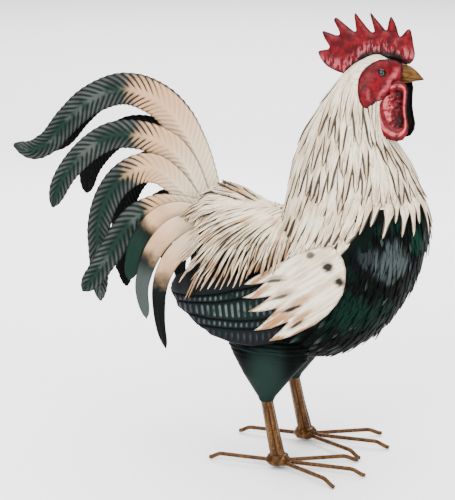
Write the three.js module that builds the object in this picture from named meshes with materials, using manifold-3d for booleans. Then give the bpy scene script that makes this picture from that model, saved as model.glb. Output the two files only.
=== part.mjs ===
// A standing rooster made of painted sheet steel. Millimetres, +Z up, the bird faces +X and its right side is at -Y.
// The legs stand at x = 0 until the last lines, which put the origin on the ground under the middle of the bird.
import * as THREE from "three";
import Module from "manifold-3d";
import { mergeVertices } from "three/addons/utils/BufferGeometryUtils.js";

const wasm = await Module();
wasm.setup();

// Driving sizes.
const sheet = 1.2; // thickness of the painted sheet steel
const weldGap = 0.3; // left between pieces that touch
const halfStance = 60; // centre plane to each leg at the ground
const rodRadius = 3; // ribbed rod of the toes
const rodHeight = 9.7; // centre of the rod under the leg
const bodySides = 24;
const wide = 200; // larger than half the bird, for cutting blocks

// Neck and front body in level slices, crown to belly: [height, back x, front x, half width].
const frontSlices = [
  [546, 103, 117, 5],
  [533, 80, 135, 20],
  [520, 66, 140, 26],
  [503, 53, 136, 30],
  [487, 41, 122, 34],
  [446, 16, 126, 48],
  [405, 1, 155, 64],
  [358, -7, 175, 79],
  [330, -11, 180, 85],
  [300, -20, 178, 89],
  [270, -30, 169, 90],
  [245, -36, 160, 87],
  [222, -38, 147, 82],
  [200, -37, 131, 75],
  [178, -32, 111, 63],
  [160, -18, 85, 46],
  [148, 0, 62, 25],
];

// Rear body in upright slices, rump to waist: [x, bottom, top, half width].
const rearSlices = [
  [-142, 300, 326, 12],
  [-130, 262, 348, 32],
  [-108, 216, 361, 54],
  [-82, 184, 353, 70],
  [-50, 162, 337, 79],
  [-15, 150, 330, 83],
  [25, 147, 322, 84],
  [60, 155, 300, 68],
];

// The surface that the right wing lies on, in upright slices like the rear body's.
const wingSlices = [
  [-158, 190, 262, 50],
  [-150, 165, 285, 58],
  [-120, 110, 350, 75],
  [-80, 80, 385, 84],
  [-30, 65, 405, 91],
  [30, 60, 415, 95],
  [75, 60, 420, 96],
  [112, 90, 410, 84],
];

// The surface that the saddle feathers hang over.
const saddleSlices = [
  [-160, 240, 318, 52],
  [-150, 236, 330, 60],
  [-128, 220, 352, 75],
  [-105, 200, 365, 85],
  [-80, 185, 358, 91],
  [-50, 172, 343, 98],
  [-15, 160, 337, 102],
  [12, 160, 336, 102],
];

// Paints.
const paint = (color, roughness, metalness) => new THREE.MeshStandardMaterial({ color, roughness, metalness });
const cream = paint(0xe2d9c4, 0.5, 0.1);
const darkGreen = paint(0x17251f, 0.42, 0.3);
const sickleGreen = paint(0x2f4a42, 0.45, 0.3);
const red = paint(0xb01b33, 0.35, 0.1);
const horn = paint(0x9a6a2a, 0.45, 0.2);
const brown = paint(0x7d5227, 0.5, 0.4);
const eyeBlack = paint(0x14181c, 0.15, 0.1);

// Angles of one full turn in equal steps.
function turn(count) {
  return Array.from({ length: count }, (_, i) => (i / count) * 2 * Math.PI);
}

function mix(a, b, share) {
  return a + (b - a) * share;
}

// Every column of a slice list at a place along its first column, by straight lines between slices.
function sliceAt(slices, place) {
  const down = slices[0][0] > slices.at(-1)[0];
  const sign = down ? -1 : 1;
  const next = Math.max(1, slices.findIndex((s) => s[0] * sign >= place * sign));
  const index = next < 1 ? slices.length - 1 : next;
  const [before, after] = [slices[index - 1], slices[index]];
  const share = THREE.MathUtils.clamp((place - before[0]) / (after[0] - before[0]), 0, 1);
  return before.map((value, column) => mix(value, after[column], share));
}

// A closed solid from points and triangles, turned to face out.
function solidFrom(points, faces) {
  const vertProperties = new Float32Array(points.flatMap((p) => [p.x, p.y, p.z]));
  const build = (triVerts) => new wasm.Manifold(new wasm.Mesh({ numProp: 3, vertProperties, triVerts }));
  const made = build(new Uint32Array(faces));
  return made.volume() > 0 ? made : build(new Uint32Array(faces).reverse());
}

// A three.js geometry as a solid.
function solidOf(geometry) {
  const loose = geometry.index ? geometry.toNonIndexed() : geometry;
  const bare = new THREE.BufferGeometry().setAttribute("position", loose.getAttribute("position"));
  const merged = mergeVertices(bare, 1e-3);
  const vertProperties = merged.attributes.position.array;
  return new wasm.Manifold(new wasm.Mesh({ numProp: 3, vertProperties, triVerts: new Uint32Array(merged.index.array) }));
}

// A closed skin over rings of equal point counts, with a flat fan at each end.
function loft(rings) {
  const count = rings[0].length;
  const last = (rings.length - 1) * count;
  const faces = [];
  for (let row = 0; row < last; row += count) {
    for (let i = 0; i < count; i++) {
      const next = (i + 1) % count;
      const [a, b, c, d] = [row + i, row + next, row + count + next, row + count + i];
      // The diagonals lean the other way past half the ring, so that both sides of the bird match.
      faces.push(...(2 * i < count ? [a, b, c, a, c, d] : [a, b, d, b, c, d]));
    }
  }
  for (let i = 1; i + 1 < count; i++) {
    faces.push(0, i + 1, i, last, last + i, last + i + 1);
  }
  return solidFrom(rings.flat(), faces);
}

// A sheet between two equal grids of points, outer and inner. A wrapped one closes on itself along each row.
function sheetBetween(outer, inner, wrapped) {
  const [rows, columns] = [outer.length, outer[0].length];
  const side = rows * columns;
  const at = (row, column) => row * columns + (column % columns);
  const faces = [];
  const quad = (a, b, c, d) => faces.push(a, b, c, a, c, d);
  const spans = wrapped ? columns : columns - 1;
  for (let column = 0; column < spans; column++) {
    for (let row = 0; row + 1 < rows; row++) {
      const [a, b] = [at(row, column), at(row, column + 1)];
      const [c, d] = [at(row + 1, column + 1), at(row + 1, column)];
      quad(a, b, c, d);
      quad(side + a, side + d, side + c, side + b);
    }
    quad(at(0, column), side + at(0, column), side + at(0, column + 1), at(0, column + 1));
    const [end, endNext] = [at(rows - 1, column), at(rows - 1, column + 1)];
    quad(end, endNext, side + endNext, side + end);
  }
  for (let row = 0; row + 1 < rows && !wrapped; row++) {
    const [a, b] = [at(row, 0), at(row + 1, 0)];
    const [c, d] = [at(row, columns - 1), at(row + 1, columns - 1)];
    quad(a, b, side + b, side + a);
    quad(d, c, side + c, side + d);
  }
  return solidFrom([...outer.flat(), ...inner.flat()], faces);
}

// A level slice's point at an angle from the front, grown outwards by a lift.
function frontPoint(z, angle, lift) {
  const [, back, front, half] = sliceAt(frontSlices, z);
  return new THREE.Vector3(
    (back + front) / 2 + ((front - back) / 2 + lift) * Math.cos(angle),
    -(half + lift) * Math.sin(angle),
    z,
  );
}

// An upright slice's point at an angle from the top towards the right side, grown outwards by a lift.
function sidePoint(slices, x, angle, lift) {
  const [, bottom, top, half] = sliceAt(slices, x);
  return new THREE.Vector3(
    x,
    -(half + lift) * Math.sin(angle),
    (bottom + top) / 2 + ((top - bottom) / 2 + lift) * Math.cos(angle),
  );
}

// The neck and front body grown by an offset.
function frontBody(offset) {
  const ends = [frontSlices[0][0], frontSlices.at(-1)[0]];
  const rings = frontSlices.map(([z]) => turn(bodySides).map((a) => frontPoint(z, a, offset)));
  rings[0].forEach((p) => (p.z = ends[0] + offset));
  rings.at(-1).forEach((p) => (p.z = ends[1] - offset));
  return loft(rings);
}

// A body of upright slices grown by an offset.
function sliceBody(slices, offset) {
  const rings = slices.map(([x]) => turn(bodySides).map((a) => sidePoint(slices, x, a, offset)));
  rings[0].forEach((p) => (p.x -= offset));
  rings.at(-1).forEach((p) => (p.x += offset));
  return loft(rings);
}

function wholeBody(offset) {
  return frontBody(offset).add(sliceBody(rearSlices, offset));
}

// An outline of [x, z] points.
function outline(points) {
  return new THREE.Shape(points.map(([x, z]) => new THREE.Vector2(x, z)));
}

// An outline drawn on the side view, pushed through the right half of the bird from one distance to another.
function sideBlock(shape, near, far, bevel = 0) {
  const geometry = new THREE.ExtrudeGeometry(shape, {
    depth: far - near - 2 * bevel,
    bevelEnabled: bevel > 0,
    bevelSize: bevel,
    bevelThickness: bevel,
    bevelOffset: -bevel,
    bevelSegments: 1,
  });
  geometry.rotateX(Math.PI / 2).translate(0, -near - bevel, 0);
  return solidOf(geometry);
}

function mirrored(solid) {
  return solid.mirror([0, 1, 0]);
}

const rooster = new THREE.Group();

function place(name, solid, material) {
  const { vertProperties, triVerts } = solid.getMesh();
  const geometry = new THREE.BufferGeometry();
  geometry.setAttribute("position", new THREE.BufferAttribute(vertProperties, 3));
  geometry.setIndex(new THREE.BufferAttribute(triVerts, 1));
  geometry.computeVertexNormals();
  const mesh = new THREE.Mesh(geometry, material);
  mesh.name = name;
  rooster.add(mesh);
}

// A piece of the right side and its mirror image on the left.
function placePair(name, solid, material) {
  place("right_" + name, solid, material);
  place("left_" + name, mirrored(solid), material);
}

// Body: the closed sheet form under the feathers.
const body = wholeBody(0);
const bodyClear = wholeBody(weldGap);
place("body", body, darkGreen);

// Thighs: cones that run from the belly down to the legs. [height, x, y, half length, half width].
const thighRings = [
  [92, -17.5, -57.5, 9.3, 9.3],
  [103, -18, -57, 15, 14],
  [126, -16, -55, 34, 25],
  [148, -12, -52, 52, 30],
  [186, -6, -45, 68, 29],
];
const thigh = loft(
  thighRings.map(([z, x, y, long, across]) =>
    turn(16).map((a) => new THREE.Vector3(x + long * Math.cos(a), y + across * Math.sin(a), z)),
  ),
);
placePair("thigh", thigh.subtract(bodyClear), darkGreen);

// Legs: sheet rolled into a fluted tube. [height, x, y, radius].
const legRings = [
  [91.7, -17.5, -57.5, 8.6],
  [55, -9.5, -58.8, 9],
  [20, -1.5, -59.8, 10.2],
  [13.2, 0, -60, 11.5],
];
const fluteDepth = 0.12;
const legWith = (grow) =>
  loft(
    legRings.map(([z, x, y, radius]) =>
      turn(15).map((a) => {
        const r = radius * (1 - fluteDepth * (0.5 + 0.5 * Math.cos(5 * a))) + grow;
        return new THREE.Vector3(x + r * Math.cos(a), y + r * Math.sin(a), z - (z < 20 ? grow : 0));
      }),
    ),
  );
placePair("leg", legWith(0), brown);

// A rod of six sides along a path of [distance, height] points in an upright plane, turned about the leg.
function rod(path, heading, radius) {
  const points = path.map(
    ([run, z]) => new THREE.Vector3(run * Math.cos(heading), -halfStance + run * Math.sin(heading), z),
  );
  const side = new THREE.Vector3(-Math.sin(heading), Math.cos(heading), 0);
  const rings = points.map((p, i) => {
    const along = points[Math.min(i + 1, points.length - 1)].clone().sub(points[Math.max(i - 1, 0)]).normalize();
    const up = along.clone().cross(side).negate();
    return turn(6).map((a) =>
      p
        .clone()
        .addScaledVector(side, radius * Math.cos(a))
        .addScaledVector(up, radius * Math.sin(a)),
    );
  });
  return loft(rings);
}

// Toes: straight rod that bends down to the ground at its end, worn flat where it stands.
const ground = solidOf(new THREE.BoxGeometry(4 * wide, 4 * wide, wide).translate(0, 0, wide / 2));
const tipHeight = 1.8;
const bentEnd = (reach, end) => [
  [reach, rodHeight],
  [mix(reach, end, 0.4), rodHeight - 2.6],
  [mix(reach, end, 0.75), tipHeight + 1.2],
  [end, tipHeight],
];
const longPath = [...bentEnd(-82, -98).reverse(), ...bentEnd(100, 120)];
const sideStart = 13;
const sidePath = [[sideStart, rodHeight], ...bentEnd(89, 110)];
const toeSpread = THREE.MathUtils.degToRad(31);
placePair("long_toe", rod(longPath, 0, rodRadius).intersect(ground), brown);
placePair("outer_toe", rod(sidePath, -toeSpread, rodRadius).intersect(ground), brown);
placePair("inner_toe", rod(sidePath, toeSpread, rodRadius).intersect(ground), brown);

// Weld: the lump that joins the leg to its toes. [height, radius].
const weldRings = [
  [4.6, 13],
  [11, 16.5],
  [18.5, 12.5],
];
const rodsClear = [0, toeSpread, -toeSpread]
  .map((heading) => rod(heading ? sidePath : longPath, heading, rodRadius + weldGap))
  .reduce((all, one) => all.add(one));
const weld = loft(
  weldRings.map(([z, radius]) =>
    turn(10).map((a) => new THREE.Vector3(radius * Math.cos(a), -halfStance + radius * Math.sin(a), z)),
  ),
);
placePair("foot_weld", weld.subtract(rodsClear).subtract(legWith(weldGap)), brown);

// Hackle feathers: collars of sheet cut into points, each tucked under the one above.
const fullLiftDrop = 50; // how far below its top edge a collar stands off the most
// Heights of the top edge and the tips, the angles from the front where it starts and ends, and the points cut.
function collar({ top, tips, from = 0, to = 2 * Math.PI, points, slit = 0.66, topLift = 1.2, tipLift = 6.2 }) {
  const wrapped = to - from > 2 * Math.PI - 0.01;
  const columns = 2 * points + (wrapped ? 0 : 1);
  const rowShares = [0, 0.55, 1];
  const grid = (thickness) =>
    rowShares.map((share) =>
      Array.from({ length: columns }, (_, column) => {
        const angle = mix(from, to, column / (2 * points));
        const reach = column % 2 ? share : share * slit;
        const end = typeof tips === "function" ? tips(angle) : tips;
        const z = mix(top, end, reach);
        return frontPoint(z, angle, mix(topLift, tipLift, Math.min(1, (top - z) / fullLiftDrop)) + thickness);
      }),
    );
  return sheetBetween(grid(sheet), grid(0), wrapped);
}
const degrees = THREE.MathUtils.degToRad;
// The lowest collar's tips hang deepest over the wings and highest where the neck meets the saddle.
function capeTips(angle) {
  const fromFront = THREE.MathUtils.radToDeg(Math.acos(Math.cos(angle)));
  const sideDrop = THREE.MathUtils.smoothstep(fromFront, 40, 88) - THREE.MathUtils.smoothstep(fromFront, 118, 165);
  return mix(mix(328, 347, fromFront / 180), 299, sideDrop);
}
const collars = [
  { top: 510, tips: 466, from: degrees(102), to: degrees(258), points: 8 },
  { top: 480, tips: 430, from: degrees(52), to: degrees(308), points: 12 },
  { top: 441, tips: 391, points: 15 },
  { top: 401, tips: 353, points: 17 },
  { top: 366, tips: capeTips, points: 19, tipLift: 9 },
];
collars.forEach((c, i) => place(`hackle_collar_${i + 1}`, collar(c), cream));

// Breast feathers: dark half collars between the wings.
const breastRows = [
  { top: 329, tips: 284, spread: 66, points: 10 },
  { top: 296, tips: 246, spread: 60, points: 10 },
  { top: 258, tips: 208, spread: 62, points: 9 },
  { top: 220, tips: 172, spread: 74, points: 9 },
];
breastRows.forEach(({ top, tips, spread, points }, i) =>
  place(
    `breast_feathers_${i + 1}`,
    collar({ top, tips, from: -degrees(spread), to: degrees(spread), points }),
    darkGreen,
  ),
);

// Wing: a smooth shield whose rear edge is cut into five fingers, over a plate of ribbed flight feathers.
const shieldOutline = [
  [82, 318],
  [96, 308],
  [101, 290],
  [99, 266],
  [89, 240],
  [68, 216],
  [44, 200],
  [20, 188],
  [-5, 179],
  [19, 202],
  [-26, 191],
  [5, 221],
  [-32, 219],
  [-2, 238],
  [-38, 237],
  [-9, 253],
  [-33, 255],
  [-10, 273],
  [20, 293],
  [55, 309],
];
const flightOutline = [
  [-153, 234],
  [-145, 222],
  [-124, 199],
  [-108, 186],
  [-87, 177],
  [-60, 171],
  [-28, 170],
  [2, 178],
  [16, 200],
  [12, 258],
  [-60, 266],
  [-120, 262],
  [-146, 250],
];
const skin = (low, high) => sliceBody(wingSlices, high).subtract(sliceBody(wingSlices, low));
const shieldLift = 2.8;
const shieldSkin = sideBlock(outline(shieldOutline), 30, wide).intersect(skin(shieldLift, shieldLift + sheet));

// The shield is dished down to the body ahead of the flight feathers, and they are joggled down to it under the shield.
const shieldFoot = [[26, 222], [70, 234], [86, 262], [74, 292], [30, 280]];
const flightFoot = [[-66, 226], [8, 226], [8, 252], [-66, 258]];
const footOf = (corners, lift) => sideBlock(outline(corners), 30, wide).intersect(sliceBody(wingSlices, lift));
const shield = shieldSkin.add(footOf(shieldFoot, shieldLift + sheet));
placePair("wing_shield", shield.subtract(bodyClear), cream);

// The two broad ribbed bands of the flight feathers stand out from the plate: [x, z] along each edge.
const broadBands = [
  [[-143, 221], [-80, 223], [8, 232], [8, 210], [-60, 200], [-122, 200]],
  [[-106, 189], [-60, 189], [8, 199], [8, 186], [-30, 174], [-84, 178]],
];
const bandRelief = broadBands
  .map((band) => sideBlock(outline(band), 30, wide).intersect(skin(-0.6, 1.6)))
  .reduce((all, one) => all.add(one));
const flightSkin = sideBlock(outline(flightOutline), 30, wide).intersect(skin(-sheet, 0));
const flights = flightSkin.add(bandRelief).add(footOf(flightFoot, 0));
placePair("flight_feathers", flights.subtract(bodyClear), darkGreen);

// Saddle feathers: long strips cut from one sheet on each side, from the back down over the wing.
// The strips are rooted on the body, sweep back over the rump and end around the wing.
const saddle = { strips: 16, slit: 0.4, reaches: [0, 0.12, 0.42, 0.74, 1] };
const saddleGrid = (thickness) =>
  saddle.reaches.map((share) =>
    Array.from({ length: 2 * saddle.strips + 1 }, (_, column) => {
      const along = column / (2 * saddle.strips);
      const reach = share * (column % 2 ? 1 : saddle.slit + 0.2 * (1 - along));
      const x = mix(mix(-104, 8, along), mix(-156, -20, along), reach);
      const angle = degrees(mix(mix(6, 50, along), mix(76, 97, along), reach ** 1.25));
      return share ? sidePoint(saddleSlices, x, angle, thickness + 2 * reach) : sidePoint(rearSlices, x, angle, 1 + thickness);
    }),
  );
const saddleSheet = sheetBetween(saddleGrid(sheet), saddleGrid(0), false);
placePair("saddle_feathers", saddleSheet.subtract(bodyClear), cream);

// Tail sickles: seven on each side, each a pointed strip with a raised middle rib.
// Centre line of each from root to tip, its greatest width, and how much of that it loses towards the tip.
const sickles = [
  {
    line: [[-110, -4, 350], [-132, -5, 410], [-163, -7, 456], [-192, -9, 476], [-236, -13, 489], [-284, -18, 472],
      [-316, -23, 444], [-344, -28, 412], [-366, -32, 402], [-391, -35, 408]],
    width: 46, taper: 0.52,
  },
  {
    line: [[-126, -9, 345], [-149, -12, 391], [-172, -16, 415], [-205, -22, 428], [-245, -30, 428], [-275, -36, 412],
      [-300, -42, 387], [-316, -47, 362], [-325, -55, 330]],
    width: 42, taper: 0.45,
  },
  {
    line: [[-116, -10, 326], [-136, -14, 339], [-161, -18, 367], [-185, -23, 384], [-207, -28, 385], [-232, -34, 371], [-253, -38, 342],
      [-264, -41, 304], [-264, -43, 270], [-261, -45, 203]],
    width: 42, taper: 0.5,
  },
  {
    line: [[-112, -15, 325], [-131, -20, 333], [-162, -26, 335], [-189, -33, 330], [-211, -40, 318], [-229, -46, 296], [-244, -51, 271],
      [-258, -55, 248], [-280, -60, 218]],
    width: 37, taper: 0.4,
  },
  {
    line: [[-112, -18, 320], [-131, -26, 328], [-155, -34, 330], [-175, -42, 323], [-193, -49, 303], [-204, -55, 282], [-211, -62, 239]],
    width: 30, taper: 0.4,
  },
  {
    line: [[-108, -24, 308], [-129, -34, 314], [-147, -42, 316], [-162, -50, 307], [-175, -57, 291], [-183, -62, 274], [-189, -66, 251],
      [-190, -69, 228], [-182, -72, 191]],
    width: 36, taper: 0.6,
  },
  {
    line: [[-100, -32, 304], [-124, -44, 301], [-139, -53, 289], [-153, -61, 272], [-162, -67, 252], [-166, -71, 231], [-165, -74, 207],
      [-161, -76, 180], [-152, -78, 154]],
    width: 32, taper: 0.72,
  },
];
const sickleSteps = 12;
const tipStart = 0.86; // share of the length where the rounded tip begins
function sickle({ line, width, taper }) {
  const curve = new THREE.CatmullRomCurve3(line.map((p) => new THREE.Vector3(...p)), false, "centripetal");
  const rings = Array.from({ length: sickleSteps + 1 }, (_, step) => {
    // Steps crowd towards the tip, which is rounded.
    const t = Math.min(1, (step / sickleSteps) ** 0.92);
    const [p, along] = [curve.getPointAt(t), curve.getTangentAt(t)];
    const across = along.clone().cross(new THREE.Vector3(0, -1, 0)).normalize();
    const out = across.clone().cross(along).normalize();
    const rounding = t > tipStart ? Math.sqrt(Math.max(0.03, 1 - ((t - tipStart) / (1 - tipStart)) ** 2)) : 1;
    const half = (width / 2) * Math.min(1, 0.62 + 1.3 * t) * (1 - taper * t ** 2.2) * rounding;
    const rise = 0.1 * half;
    const at = (side, height) => p.clone().addScaledVector(across, side).addScaledVector(out, height);
    return [at(0, rise), at(half, 0), at(half, -sheet), at(0, rise - sheet), at(-half, -sheet), at(-half, 0)];
  });
  return loft(rings);
}
sickles.forEach((s, i) => placePair(`tail_sickle_${i + 1}`, sickle(s).subtract(bodyClear), sickleGreen));

// Beak, grown by an offset. [x, middle height, half height, half width].
const beakRings = [
  [132, 524, 12, 11],
  [146, 524, 11.5, 9.5],
  [156, 522.5, 8.6, 7],
  [165, 519.5, 4.6, 4],
  [171, 517, 1.2, 1.2],
];
const beak = (grow) =>
  loft(
    beakRings.map(([x, z, high, across]) =>
      turn(10).map((a) => new THREE.Vector3(x, (across + grow) * Math.sin(a), z + (high + grow) * Math.cos(a))),
    ),
  );
place("beak", beak(0).subtract(frontBody(weldGap)), horn);

// Face plates: red sheet beaten to the sides of the head, each with its ear lobe below.
const faceOutline = [
  [142, 543],
  [130, 545],
  [116, 543],
  [103, 536],
  [95, 525],
  [92, 508],
  [94, 492],
  [101, 481],
  [110, 482],
  [113, 494],
  [122, 498],
  [130, 506],
  [144, 516],
];
const facePlate = sideBlock(outline(faceOutline), 5, 60)
  .intersect(frontBody(0.6 + 2))
  .subtract(frontBody(0.6))
  .subtract(beak(weldGap));
placePair("face_plate", facePlate, red);

// Eyes: small domes on the face plates.
const eyePlace = new THREE.Vector3(120, -19, 525);
const eyeBall = solidOf(new THREE.SphereGeometry(5.2, 12, 8).translate(eyePlace.x, eyePlace.y, eyePlace.z));
placePair("eye", eyeBall.subtract(frontBody(0.6 + 2 + weldGap)), eyeBlack);

// Comb: a toothed plate pressed in two halves. Its points and the notches before them, from back to front.
const combPoints = [[31, 547], [36, 573], [52, 590], [79, 598], [100, 600], [126, 595], [152, 580]];
const combNotches = [[45, 553], [59, 570], [80, 576], [104, 576], [121, 579], [139, 570]];
const combFoot = [[158, 549], [152, 535], [138, 522], [100, 520], [76, 508], [69, 521], [48, 526], [37, 534]];
const combOutline = combPoints.flatMap((point, i) => (i < combNotches.length ? [point, combNotches[i]] : [point]));
const comb = sideBlock(outline([...combOutline, ...combFoot]), -2.5, 2.5, 1);
place("comb", comb.subtract(frontBody(weldGap)).subtract(beak(weldGap)), red);

// Wattles: two hanging lobes with a raised rim, splayed outwards towards their lower ends.
const wattleOutline = [
  [143, 514],
  [130, 508],
  [120, 496],
  [115, 481],
  [116, 464],
  [123, 450],
  [133, 443],
  [144, 441],
  [153, 446],
  [156, 458],
  [154, 483],
  [154, 499],
  [150, 510],
];
const wattleHollow = [
  [138, 500],
  [128, 488],
  [124, 470],
  [130, 455],
  [142, 451],
  [148, 460],
  [145, 482],
  [147, 496],
];
const wattleBase = 11;
const wattleTop = 515;
const wattleSplay = THREE.MathUtils.radToDeg(Math.atan2(6, 75));
const wattlePlate = sideBlock(outline(wattleOutline), wattleBase, wattleBase + 3.6, 0.8).subtract(
  sideBlock(outline(wattleHollow), wattleBase + 2, wattleBase + 10),
);
const wattle = wattlePlate.translate([0, 0, -wattleTop]).rotate([wattleSplay, 0, 0]).translate([0, 0, wattleTop]);
placePair("wattle", wattle.subtract(frontBody(0.6 + 2 + weldGap)).subtract(beak(weldGap)), red);

// The origin goes on the ground under the middle of the bird.
const bounds = new THREE.Box3().setFromObject(rooster);
rooster.position.x = -(bounds.min.x + bounds.max.x) / 2;

export default rooster;
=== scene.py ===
# A standing garden rooster in painted sheet steel.
# Metres, +Z up, the bird faces +X and its right side is at -Y.
import bpy
import bmesh
import math
import random
import numpy as np
from mathutils import Matrix, Vector, noise
from mathutils.bvhtree import BVHTree
from mathutils.geometry import delaunay_2d_cdt


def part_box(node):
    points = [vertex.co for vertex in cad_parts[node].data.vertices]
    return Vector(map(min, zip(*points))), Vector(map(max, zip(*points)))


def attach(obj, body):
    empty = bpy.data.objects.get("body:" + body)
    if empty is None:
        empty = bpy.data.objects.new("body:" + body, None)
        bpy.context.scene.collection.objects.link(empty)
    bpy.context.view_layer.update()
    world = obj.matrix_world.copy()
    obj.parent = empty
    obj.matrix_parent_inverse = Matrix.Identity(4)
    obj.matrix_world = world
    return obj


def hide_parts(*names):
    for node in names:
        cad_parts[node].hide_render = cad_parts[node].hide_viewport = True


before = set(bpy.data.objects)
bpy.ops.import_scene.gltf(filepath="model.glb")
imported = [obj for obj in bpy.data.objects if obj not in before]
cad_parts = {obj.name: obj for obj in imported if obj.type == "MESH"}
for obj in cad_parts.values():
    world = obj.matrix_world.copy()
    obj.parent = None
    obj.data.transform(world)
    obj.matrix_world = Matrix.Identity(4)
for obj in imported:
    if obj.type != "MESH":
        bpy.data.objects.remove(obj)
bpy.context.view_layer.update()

# Floor, lights and camera.
# A plain pale studio, seen from the bird's right, a little from the front and above.
# Places are in millimetres from the ground between the legs, as the bird itself is measured.
weld_low, weld_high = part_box("right_foot_weld")
legs_x = (weld_low.x + weld_high.x) / 2
MM = 0.001


def place(x, y, z):
    """A place in metres, from one in millimetres."""
    return Vector((legs_x + x * MM, y * MM, z * MM))


def placed(points):
    """Many places at once, as rows of x, y and z."""
    return np.asarray(points) * MM + (legs_x, 0, 0)


def deselect():
    if bpy.context.object and bpy.context.object.mode != "OBJECT":
        bpy.ops.object.mode_set(mode="OBJECT")
    bpy.ops.object.select_all(action="DESELECT")


deselect()
FLOOR_WIDTH = 30
FLOOR_GAP = 0.2 * MM
bpy.ops.mesh.primitive_plane_add(size=FLOOR_WIDTH, location=(0, 0, -FLOOR_GAP))
floor = bpy.context.object
floor.name = "floor"
floor_paper = bpy.data.materials.new("floor_paper")
floor_paper.use_nodes = True
paper_shader = floor_paper.node_tree.nodes["Principled BSDF"]
paper_shader.inputs["Base Color"].default_value = (0.97, 0.97, 0.965, 1)
paper_shader.inputs["Roughness"].default_value = 0.9
floor.data.materials.append(floor_paper)

studio = bpy.data.worlds.new("studio")
studio.use_nodes = True
studio.node_tree.nodes["Background"].inputs["Color"].default_value = (1.0, 0.995, 0.985, 1)
studio.node_tree.nodes["Background"].inputs["Strength"].default_value = 0.8
bpy.context.scene.world = studio


def softbox(name, where, aim, width, watts):
    """A square lamp that faces what it is aimed at."""
    lamp = bpy.data.lights.new(name, "AREA")
    lamp.size = width
    lamp.energy = watts
    holder = bpy.data.objects.new(name, lamp)
    bpy.context.scene.collection.objects.link(holder)
    holder.location = where
    holder.rotation_euler = (aim - Vector(where)).to_track_quat("-Z", "Y").to_euler()


bird_middle = place(-93.5, 0, 276)
softbox("overhead_softbox", (0, 0, 3.2), bird_middle, 4.0, 230)
softbox("key_softbox", (-0.1, -2.0, 1.5), bird_middle, 1.3, 75)
softbox("front_softbox", (1.9, -1.1, 0.9), bird_middle, 1.0, 32)
softbox("rim_softbox", (-0.9, 1.7, 1.3), bird_middle, 0.9, 22)
softbox("backdrop_softbox", (-1.6, 4.6, 3.4), Vector((-1.6, 4.6, 0)), 5.0, 420)

camera_turn = math.radians(20)
camera_rise = math.radians(12.5)
camera_range = 2.4
camera_data = bpy.data.cameras.new("camera")
camera_data.sensor_width = 36
camera_data.lens = 128.6
camera = bpy.data.objects.new("camera", camera_data)
bpy.context.scene.collection.objects.link(camera)
towards_camera = Vector((
    math.sin(camera_turn) * math.cos(camera_rise),
    -math.cos(camera_turn) * math.cos(camera_rise),
    math.sin(camera_rise),
))
camera.location = bird_middle + towards_camera * camera_range
camera.rotation_euler = (-towards_camera).to_track_quat("-Z", "Y").to_euler()
bpy.context.scene.camera = camera

# Body: the closed sheet form under the feathers.
# Beaten steel, painted green-black all over before the feathers are tacked on.
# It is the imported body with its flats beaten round.


def finish_piece(piece, slot, *nodes):
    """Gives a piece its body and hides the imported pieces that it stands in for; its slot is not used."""
    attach(piece, "root")
    if nodes:
        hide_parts(*nodes)
    return piece


def pick(piece):
    """Selects one piece and nothing else."""
    deselect()
    bpy.context.view_layer.objects.active = piece
    piece.select_set(True)


def apply_all(piece):
    pick(piece)
    for modifier in list(piece.modifiers):
        bpy.ops.object.modifier_apply(modifier=modifier.name)
    deselect()


def beaten_round(node, name, voxel, passes):
    """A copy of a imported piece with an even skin, smoothed over and over."""
    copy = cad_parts[node].copy()
    copy.data = copy.data.copy()
    for key in list(copy.keys()):
        del copy[key]
    copy.name = name
    copy.parent = None
    bpy.context.scene.collection.objects.link(copy)
    form = bmesh.new()
    form.from_mesh(copy.data)
    bmesh.ops.remove_doubles(form, verts=form.verts, dist=0.05 * MM)
    form.to_mesh(copy.data)
    form.free()
    copy.data.materials.clear()
    remesh = copy.modifiers.new("even_skin", "REMESH")
    remesh.mode = "VOXEL"
    remesh.voxel_size = voxel
    smooth = copy.modifiers.new("planish", "SMOOTH")
    smooth.factor = 0.5
    smooth.iterations = passes
    apply_all(copy)
    copy.data.polygons.foreach_set("use_smooth", [True] * len(copy.data.polygons))
    return copy


class Tone:
    """A number that differs over the surface. It is reckoned with as plain numbers are."""

    def __init__(self, paint, socket):
        self.paint = paint
        self.socket = socket

    def __add__(self, other):
        return self.paint.sums("ADD", self, other)

    def __sub__(self, other):
        return self.paint.sums("SUBTRACT", self, other)

    def __mul__(self, other):
        return self.paint.sums("MULTIPLY", self, other)

    def __truediv__(self, other):
        return self.paint.sums("DIVIDE", self, other)

    def __abs__(self):
        return self.paint.sums("ABSOLUTE", self, 0.0)

    def ramp(self, low, high):
        """0 below low, 1 above high, smooth between. low may be the larger."""
        rising = low < high
        return self.paint.node("ShaderNodeMapRange", "Result", {"interpolation_type": "SMOOTHSTEP"}, {
            "Value": self, "From Min": min(low, high), "From Max": max(low, high),
            "To Min": 0.0 if rising else 1.0, "To Max": 1.0 if rising else 0.0,
        })


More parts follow.
